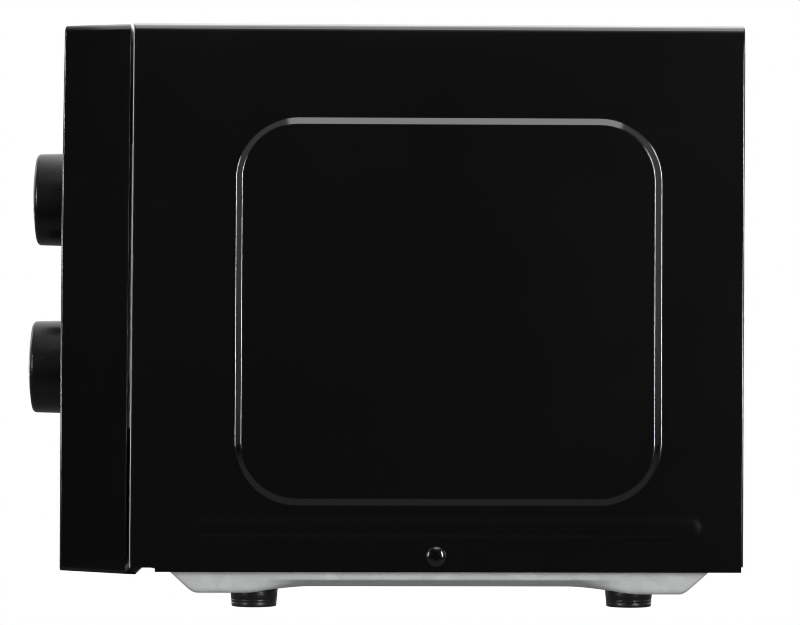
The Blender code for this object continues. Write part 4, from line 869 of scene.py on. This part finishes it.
panel = moulded_slab("panel_shell", panel_low.x, panel_high.x, (0.00012, 0.00012, 0.0009, 0.0009), 0.0015)
button_low, button_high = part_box("open_button")
knob_x, _, timer_z = centre("timer_shaft")
knob_zs = {"timer": timer_z, "power": centre("power_shaft")[2]}
room_x, room_y = panel_low.x + WALL, panel_rear - FLANGE_T
room_zs = (panel_foot + WALL, panel_high.z - WALL - 0.002)
cutters = [block("room", room_x, panel_high.x - WALL, face_y + WALL + FACE_RAKE, room_y, *room_zs),
           block("room_back", room_x, panel_high.x - FLANGE, room_y - 0.0001, panel_rear + THROUGH, *room_zs)]
for z in knob_zs.values():
    profile = [(SHAFT_HOLE_R, face_y - THROUGH), (SHAFT_HOLE_R, face_y + 0.015)]
    cutters.append(turned_piece("hole", profile, knob_x, z, "Y", 48, cover_paint))
cutters.append(soft_block("opening", button_low.x - GAP, button_high.x + GAP,
                          face_y - THROUGH, face_y + THROUGH,
                          button_low.z - GAP, button_low.z + BAR_H + GAP, 0.003, 0.0001, panel_black))
subtract(panel, cutters)
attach(panel, "oven_body")
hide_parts("control_panel")

lip_reach = panel_high.y
root_y = panel_rear - 0.0006
section = ((root_y, 0.0002), (lip_reach - 0.0003, 0.0), (lip_reach, 0.0003),
           (lip_reach, 0.0009), (root_y, 0.0014))
bm = bmesh.new()
closed_rings(bm, [[bm.verts.new((x, y, panel_low.z + rise)) for y, rise in section]
                  for x in (panel_low.x + 0.001, panel_high.x - 0.0006)])
lip = piece("panel_lip", bm, panel_black)
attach(lip, "oven_body")

# ---- knobs
# Two round satin black knobs with slightly domed faces and soft edges, pushed on steel
# shafts. A white pointer is set into each face.

knob_black = moulding("knob_moulding", (0.0016, 0.0016, 0.0020), 0.28, 1300.0, 0.00001, shine=0.3)
print_white = moulding("white_print", (0.62, 0.62, 0.60), 0.55, 900.0, 0.00001)

KNOB_EDGE, KNOB_DOME = 0.0020, 0.0017
BORE_R, BORE_DEPTH = 0.0033, 0.006
POINTER = (0.0100, 0.0188)
for control in ("timer", "power"):
    low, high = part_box(f"{control}_knob")
    radius, z = (high.z - low.z) / 2, (low.z + high.z) / 2
    rim = radius - KNOB_EDGE - 0.0003
    shares = [(k + 0.05) / 8.05 for k in range(9)]
    profile = [(rim * share, low.y + KNOB_DOME * share * share) for share in shares]
    profile += [(rim + KNOB_EDGE * sine, low.y + KNOB_DOME + KNOB_EDGE * drop)
                for sine, drop in quarter(8)[1:]]
    profile += [(radius, high.y - 0.0004), (radius - 0.0004, high.y),
                (BORE_R, high.y), (BORE_R, high.y - BORE_DEPTH)]
    knob = turned_piece(f"{control}_dial", profile, knob_x, z, "Y", 96, knob_black, 45)
    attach(knob, f"{control}_control")
    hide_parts(f"{control}_knob")
    pointer = soft_block(f"{control}_pointer", knob_x - 0.0007, knob_x + 0.0007,
                         low.y + 0.0001, low.y + 0.0030,
                         z + POINTER[0], z + POINTER[1], 0.0006, 0.0002, print_white)
    for vertex in pointer.data.vertices:
        share = (vertex.co.z - z) / rim
        vertex.co.y += KNOB_DOME * share * share - 0.00015
    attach(pointer, f"{control}_control")

for shaft, steel in (("power_shaft", "shaft_steel"), ("timer_shaft", "shaft_steel_2")):
    dress(metal(steel, (0.5, 0.5, 0.51), 0.3), shaft)

# ---- dial print
# White pad print on the panel's face: a ring of ticks round each knob, minutes at the
# timer and power steps at the other. It is a skin of ink on the moulding.

INK = 0.00004
TICK_START, LONG_TICK, SHORT_TICK = 0.0232, (0.0262, 0.0006), (0.0248, 0.0004)
NUMBER_REACH, NUMBER_SIZE = 0.0298, 0.0042


def ink_bar(bm, x, z, angle, inner, outer, width):
    """One radial tick on the panel's face, clockwise from the top."""
    out = Vector((math.sin(angle), math.cos(angle)))
    across = Vector((out.y, -out.x)) * width / 2
    corners = [out * inner - across, out * inner + across, out * outer + across, out * outer - across]
    front, back = [], []
    for c in corners:
        y = face_y + face_rake(z + c.y)
        front.append(bm.verts.new((x + c.x, y - INK, z + c.y)))
        back.append(bm.verts.new((x + c.x, y + INK, z + c.y)))
    join_rings(bm, [front, back])
    bm.faces.new(front)
    bm.faces.new(back)


def curve_mesh(curve):
    """The mesh that a curve or a text makes."""
    holder = placed("holder", curve)
    bpy.context.view_layer.update()
    mesh = evaluated_mesh(holder)
    bpy.data.objects.remove(holder, do_unlink=True)
    return mesh


def ink_number(bm, text, x, z, size):
    """Digits centred at a place on the panel's face."""
    curve = bpy.data.curves.new("digits", "FONT")
    curve.body = text
    curve.size = size
    curve.align_x = curve.align_y = "CENTER"
    mesh = curve_mesh(curve)
    for vertex in mesh.vertices:
        up = z + vertex.co.y
        vertex.co = (x + vertex.co.x, face_y + face_rake(up) - INK, up)
    bm.from_mesh(mesh)


bm = bmesh.new()
for control, sweep, count, labels in (("timer", 300, 31, {k: str(k) for k in range(0, 31, 5)}),
                                      ("power", 285, 6, {k: str(k + 1) for k in range(6)})):
    z = knob_zs[control]
    for k in range(count):
        angle = math.radians(sweep) * k / (count - 1)
        ink_bar(bm, knob_x, z, angle, TICK_START, *(LONG_TICK if k in labels else SHORT_TICK))
        if k in labels:
            ink_number(bm, labels[k], knob_x + NUMBER_REACH * math.sin(angle),
                       z + NUMBER_REACH * math.cos(angle), NUMBER_SIZE)
bmesh.ops.recalc_face_normals(bm, faces=bm.faces)
for face in bm.faces:
    if face.normal.y > 0.9 and face.calc_center_median().y < face_y + FACE_RAKE - INK * 2:
        face.normal_flip()
dials = piece("dial_print", bm, print_white)
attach(dials, "oven_body")

# ---- door button
# A wide push bar set flush in the panel's foot, with soft edges. It runs in the panel
# on a plunger that reaches back to the release lever.

low, high = button_low, button_high
button = soft_block("push_bar", low.x, high.x, low.y, low.y + 0.012, low.z, low.z + BAR_H,
                    0.0028, 0.0008, knob_black)
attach(button, "button")
PLUNGER_OFF, PLUNGER_Z = 0.012, 0.044
profile = [(0.004, low.y + 0.010), (0.004, high.y - 0.0006), (0.0034, high.y)]
plunger = turned_piece("push_bar_plunger", profile, (low.x + high.x) / 2 - PLUNGER_OFF, PLUNGER_Z, "Y", 24,
                       knob_black)
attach(plunger, "button")
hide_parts("open_button")

# ---- door
# A moulded black frame, round about its hinge side, holds a tinted pane in front. A
# perforated steel screen lies behind the pane, and a moulded cover closes the choke.

tinted = Finish("tinted_pane", (0.004, 0.004, 0.005), 0.05)
across, up = tinted.along(tinted.place, "X"), tinted.along(tinted.place, "Z")
pane_low, pane_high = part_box("door_window")
BORDER = 0.012
clear = (across > pane_low.x + BORDER) * (across < pane_high.x - BORDER)
clear = clear * (up > pane_low.z + BORDER) * (up < pane_high.z - BORDER)
tinted.set({"Alpha": 1 - clear * 0.62, "Coat Weight": 1.0, "Coat Roughness": 0.03,
            "Roughness": tinted.noise(15.0, 3.0) * 0.03 + 0.04})
screen_black = enamel("screen_enamel", (0.012, 0.012, 0.013), (0.018, 0.018, 0.019), 0.4, 0.1)
axis_x, axis_y = centre("hinge_upper")[0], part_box("hinge_upper")[0].y + 0.0055
RIM, EASE = 0.006, 0.0003
ARM_IN, ARM_HALF = 0.006, 0.00125 + 0.0016
SWING_R, PIN_R, PIN_DEPTH = 0.0067, 0.0031, 0.014

door = moulded_slab("door_moulding", door_low.x, door_high.x, (0.0008, 0.014, 0.003, 0.0014))
choke_low, choke_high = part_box("door_choke_cover")
screen_low, screen_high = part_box("door_screen")
window = (pane_low.x + RIM, pane_high.x - RIM, pane_low.z + RIM, pane_high.z - RIM)
back_y = panel_rear + THROUGH
cutters = [soft_block("opening", *window[:2], face_y - THROUGH, back_y, *window[2:],
                      0.006, 0.0001, panel_black),
           soft_block("rebate", pane_low.x - EASE, pane_high.x + EASE, face_y - THROUGH, pane_high.y + EASE,
                      pane_low.z - EASE, pane_high.z + EASE, 0.009, 0.0001, panel_black),
           block("pocket", choke_low.x - EASE, choke_high.x + EASE, screen_low.y - EASE, back_y,
                 choke_low.z - EASE, choke_high.z + EASE)]
for node, way in (("hinge_upper", -1), ("hinge_lower", 1)):
    low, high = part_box(node)
    arm_z = low.z + ARM_IN if way > 0 else high.z - ARM_IN
    slot = (arm_z - ARM_HALF, arm_z + ARM_HALF)
    cutters.append(block("swing", door_low.x - 0.01, axis_x + 0.007, axis_y - 0.0084, back_y, *slot))
    bore = sorted((arm_z, arm_z + way * PIN_DEPTH))
    for name, radius, ends, steps in (("round", SWING_R, slot, 48), ("bore", PIN_R, bore, 32)):
        sides = [(radius, z) for z in ends]
        cutters.append(turned_piece(name, sides, axis_x, axis_y, "Z", steps, panel_black))
subtract(door, cutters)
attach(door, "door")
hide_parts("door_frame")

pane = soft_block("tinted_window", pane_low.x, pane_high.x, pane_low.y, pane_high.y, pane_low.z, pane_high.z,
                  0.0087, 0.0005, tinted.material)
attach(pane, "door")
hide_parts("door_window")


def perforated(name, x0, x1, z0, z1, y0, y1, pitch, hole, material, sides=8):
    """A sheet of square cells, each with a round hole, set in rows by Geometry Nodes."""
    across, up = int((x1 - x0) / pitch), int((z1 - z0) / pitch)
    start_x, start_z = (x0 + x1 - across * pitch) / 2, (z0 + z1 - up * pitch) / 2
    cell = bmesh.new()
    outer, inner = [], []
    for a in [2 * math.pi * (k + 0.5) / sides for k in range(sides)]:
        c, s = math.cos(a), math.sin(a)
        reach = pitch / 2 / max(abs(c), abs(s))
        outer.append(Vector((c * reach, 0, s * reach)))
        inner.append(Vector((c * hole, 0, s * hole)))
    back = y1 - y0
    loops, rims = [[[cell.verts.new((p.x, y, p.z)) for p in points] for y in (0.0, back)]
                   for points in (inner, outer)]
    for k in range(sides):
        j = (k + 1) % sides
        cell.faces.new((loops[0][j], loops[0][k], loops[1][k], loops[1][j]))
        for y, loop, rim in ((0.0, loops[0], rims[0]), (back, loops[1], rims[1])):
            quad = [loop[k], loop[j], rim[j], rim[k]]
            if abs(outer[k].x - outer[j].x) > 1e-7 and abs(outer[k].z - outer[j].z) > 1e-7:
                corner = [math.copysign(pitch / 2, c) for c in (outer[k].x, outer[k].z)]
                quad.insert(3, cell.verts.new((corner[0], y, corner[1])))
            cell.faces.new(quad if y == 0.0 else list(reversed(quad)))
    master = piece(name + "_cell", cell, material)
    points = [((start_x + (i + 0.5) * pitch, y0, start_z + (j + 0.5) * pitch), (0, 0, 1))
              for i in range(across) for j in range(up)]
    made = set_copies(name, points, master, material)
    bpy.data.objects.remove(master, do_unlink=True)
    merge = bmesh.new()
    merge.from_mesh(made.data)
    bmesh.ops.remove_doubles(merge, verts=merge.verts, dist=pitch / 200)
    merge.to_mesh(made.data)
    merge.free()
    return made, (start_x, start_x + across * pitch, start_z, start_z + up * pitch)


HOLE_PITCH, HOLE_R = 0.0027, 0.00095
holes, field = perforated("screen_holes", *window, screen_low.y, screen_high.y,
                          HOLE_PITCH, HOLE_R, screen_black)
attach(holes, "door")
bm = bmesh.new()
inner, outer = [[(x0, z0), (x1, z0), (x1, z1), (x0, z1)] for x0, x1, z0, z1 in (
    field, (screen_low.x, screen_high.x, screen_low.z, screen_high.z))]
rings = [[bm.verts.new((x, y, z)) for x, z in loop] for loop, y in (
    (inner, screen_low.y), (outer, screen_low.y), (outer, screen_high.y), (inner, screen_high.y))]
join_rings(bm, rings + rings[:1])
bmesh.ops.recalc_face_normals(bm, faces=bm.faces)
border = piece("screen_border", bm, screen_black)
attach(border, "door")
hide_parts("door_screen")
dress(moulding("choke_moulding", (0.010, 0.010, 0.011), 0.42, 900.0), "door_choke_cover")
nylon = moulding("nylon", (0.62, 0.60, 0.54), 0.45, 600.0)
dress(nylon, "latch_hooks")
for node in ("hinge_upper", "hinge_lower"):
    dress(metal(node + "_steel", (0.42, 0.43, 0.44), 0.34, 1.0, (1.0, 0.08, 1.0), 900.0), node)

# ---- back
# The rear panel is bare galvanised sheet with rows of vents. A black bush lines the
# opening for the supply lead.

dress(galvanised, "rear_panel")
dress(moulding("bush_moulding", (0.012, 0.012, 0.012), 0.4), "cord_gland")

# ---- turntable and rack
# A pressed glass tray sits on a three-winged drive and runs on a white roller ring. A
# low wire rack with three legs stands on the tray for grilling.

tray_glass = Finish("pressed_glass", (0.80, 0.86, 0.85), 0.06)
tray_glass.set({"Alpha": 0.38, "Coat Weight": 1.0, "Coat Roughness": 0.04,
                "Roughness": tray_glass.noise(30.0, 3.0) * 0.05 + 0.04})
tray_glass.bump(tray_glass.noise(60.0, 2.0), 0.1, 0.0002)
chrome = metal("plated_wire", (0.62, 0.62, 0.63), 0.16, 1.0, (1.0, 1.0, 1.0), 300.0)

TRAY_T = 0.004
TRAY_FLAT = (0.100, 0.0965)             # radius of the flat, below and above
TRAY_FLARE, TRAY_RISES = 0.0205, (0.0125, 0.0100)
STUD_REACH, STUD_R = 0.013, 0.003

tray_low, tray_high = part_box("glass_tray")
turn_x, turn_y, _ = centre("glass_tray")
tray_r = (tray_high.x - tray_low.x) / 2
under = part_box("turntable_coupler")[1].z + 0.0003
below, above = [[(flat + TRAY_FLARE * k / 8, floor_z + rise * ease(k / 8, 0.0, 1.0)) for k in range(9)]
                for flat, rise, floor_z in zip(TRAY_FLAT, TRAY_RISES, (under, under + TRAY_T))]
profile = [(0.0005, under)] + below
profile += [(tray_r - inset, tray_high.z - drop) for inset, drop in (
    (0.0006, 0.0018), (0.0, 0.0010), (0.0005, 0.0002), (0.0018, 0.0), (0.0042, 0.0006))]
profile += above[-2::-1] + [(0.0005, under + TRAY_T)]
bm = bmesh.new()
turned(bm, profile, turn_x, turn_y, "Z", 128)
stud = [(STUD_R - 0.0006, under - 0.0035), (STUD_R, under - 0.0029), (STUD_R, under + 0.0002)]
for x, y in circle(turn_x, turn_y, STUD_REACH, 3, math.pi / 3):
    turned(bm, stud, x, y, "Z", 24)
tray = piece("pressed_tray", bm, tray_glass.material)
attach(tray, "tray")
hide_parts("glass_tray")


def wire(name, paths, radius, material, closed=False):
    """Round wires along point paths, as one mesh."""
    curve = bpy.data.curves.new(name, "CURVE")
    curve.dimensions = "3D"
    curve.bevel_depth = radius
    curve.bevel_resolution = 3
    curve.use_fill_caps = True
    curve.resolution_u = 1
    for path in paths:
        spline = curve.splines.new("POLY")
        spline.points.add(len(path) - 1)
        for point, place in zip(spline.points, path):
            point.co = (*place, 1.0)
        spline.use_cyclic_u = closed
    mesh = curve_mesh(curve)
    mesh.name = name
    coat(mesh, material)
    mesh.shade_smooth()
    return placed(name, mesh)


RACK_R, RACK_RISE = 0.095, 0.032
RIM_WIRE_R, BAR_WIRE_R, LEG_WIRE_R = 0.002, 0.0015, 0.0022
BAR_COUNT = 7

rack_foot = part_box("grill_rack")[0].z
ring_z = rack_foot + RACK_RISE
ring = [(x, y, ring_z) for x, y in circle(turn_x, turn_y, RACK_R, 96)]
rim = wire("rack_rim", [ring], RIM_WIRE_R, chrome, closed=True)
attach(rim, "rack")
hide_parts("grill_rack")
bars = []
for k in range(BAR_COUNT):
    off = -RACK_R + 2 * RACK_R / (BAR_COUNT + 1) * (k + 1)
    half = math.sqrt(RACK_R ** 2 - off ** 2)
    bars.append([(turn_x + half * s, turn_y + off, ring_z + 0.0008) for s in (-1, -0.5, 0, 0.5, 1)])
rungs = wire("rack_bars", bars, BAR_WIRE_R, chrome)
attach(rungs, "rack")
legs = [[(x, y, z) for z in (rack_foot + 0.0001, ring_z - 0.012, ring_z)]
        for x, y in circle(turn_x, turn_y, RACK_R - 0.001, 3, 0.5)]
feet = wire("rack_legs", legs, LEG_WIRE_R, chrome)
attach(feet, "rack")
dress(nylon, "turntable_coupler", "roller_ring", "roller_1", "roller_2", "roller_3")

# ---- grill and works
# Under the roof two quartz tubes lie in a sheet housing behind a slotted guard. The
# supply, the fan and the controls stand beside the cavity and are seen through vents.

dress(galvanised, "grill_housing", "waveguide", "turntable_motor", "fan_motor")
dress(metal("guard_steel", (0.5, 0.5, 0.51), 0.3, 1.0, (0.1, 1.0, 1.0), 700.0), "grill_guard")
quartz = Finish("frosted_quartz", (0.75, 0.74, 0.70), 0.3)
quartz.set({"Base Color": quartz.blend(quartz.noise(90.0, 3.0), (0.66, 0.65, 0.62), (0.80, 0.79, 0.76)),
            "Coat Weight": 0.5})
dress(quartz.material, "quartz_heater_front", "quartz_heater_rear", "cavity_lamp")
mica = Finish("mica_sheet", (0.42, 0.36, 0.28), 0.5)
mica.set({"Base Color": mica.blend(mica.noise(80.0, 5.0), (0.34, 0.29, 0.22), (0.52, 0.46, 0.37))})
dress(mica.material, "waveguide_cover")
dress(metal("plain_aluminium", (0.62, 0.63, 0.64), 0.36, 1.0, (1.0, 0.2, 1.0), 500.0),
      "magnetron", "capacitor")
dress(metal("varnished_iron", (0.06, 0.06, 0.065), 0.5, 0.6, (1.0, 30.0, 1.0), 120.0), "transformer_core")
dress(metal("enamelled_copper", (0.45, 0.17, 0.07), 0.35, 0.9, (1.0, 1.0, 40.0), 60.0), "transformer_winding")
dress(moulding("circuit_board", (0.16, 0.10, 0.04), 0.5), "filter_board")
dress(moulding("switch_case", (0.03, 0.03, 0.032), 0.4), "microswitch_1", "microswitch_2", "microswitch_3")
dress(nylon, "timer_unit", "interlock_bracket", "release_lever", "fan_duct", "fan_blade")
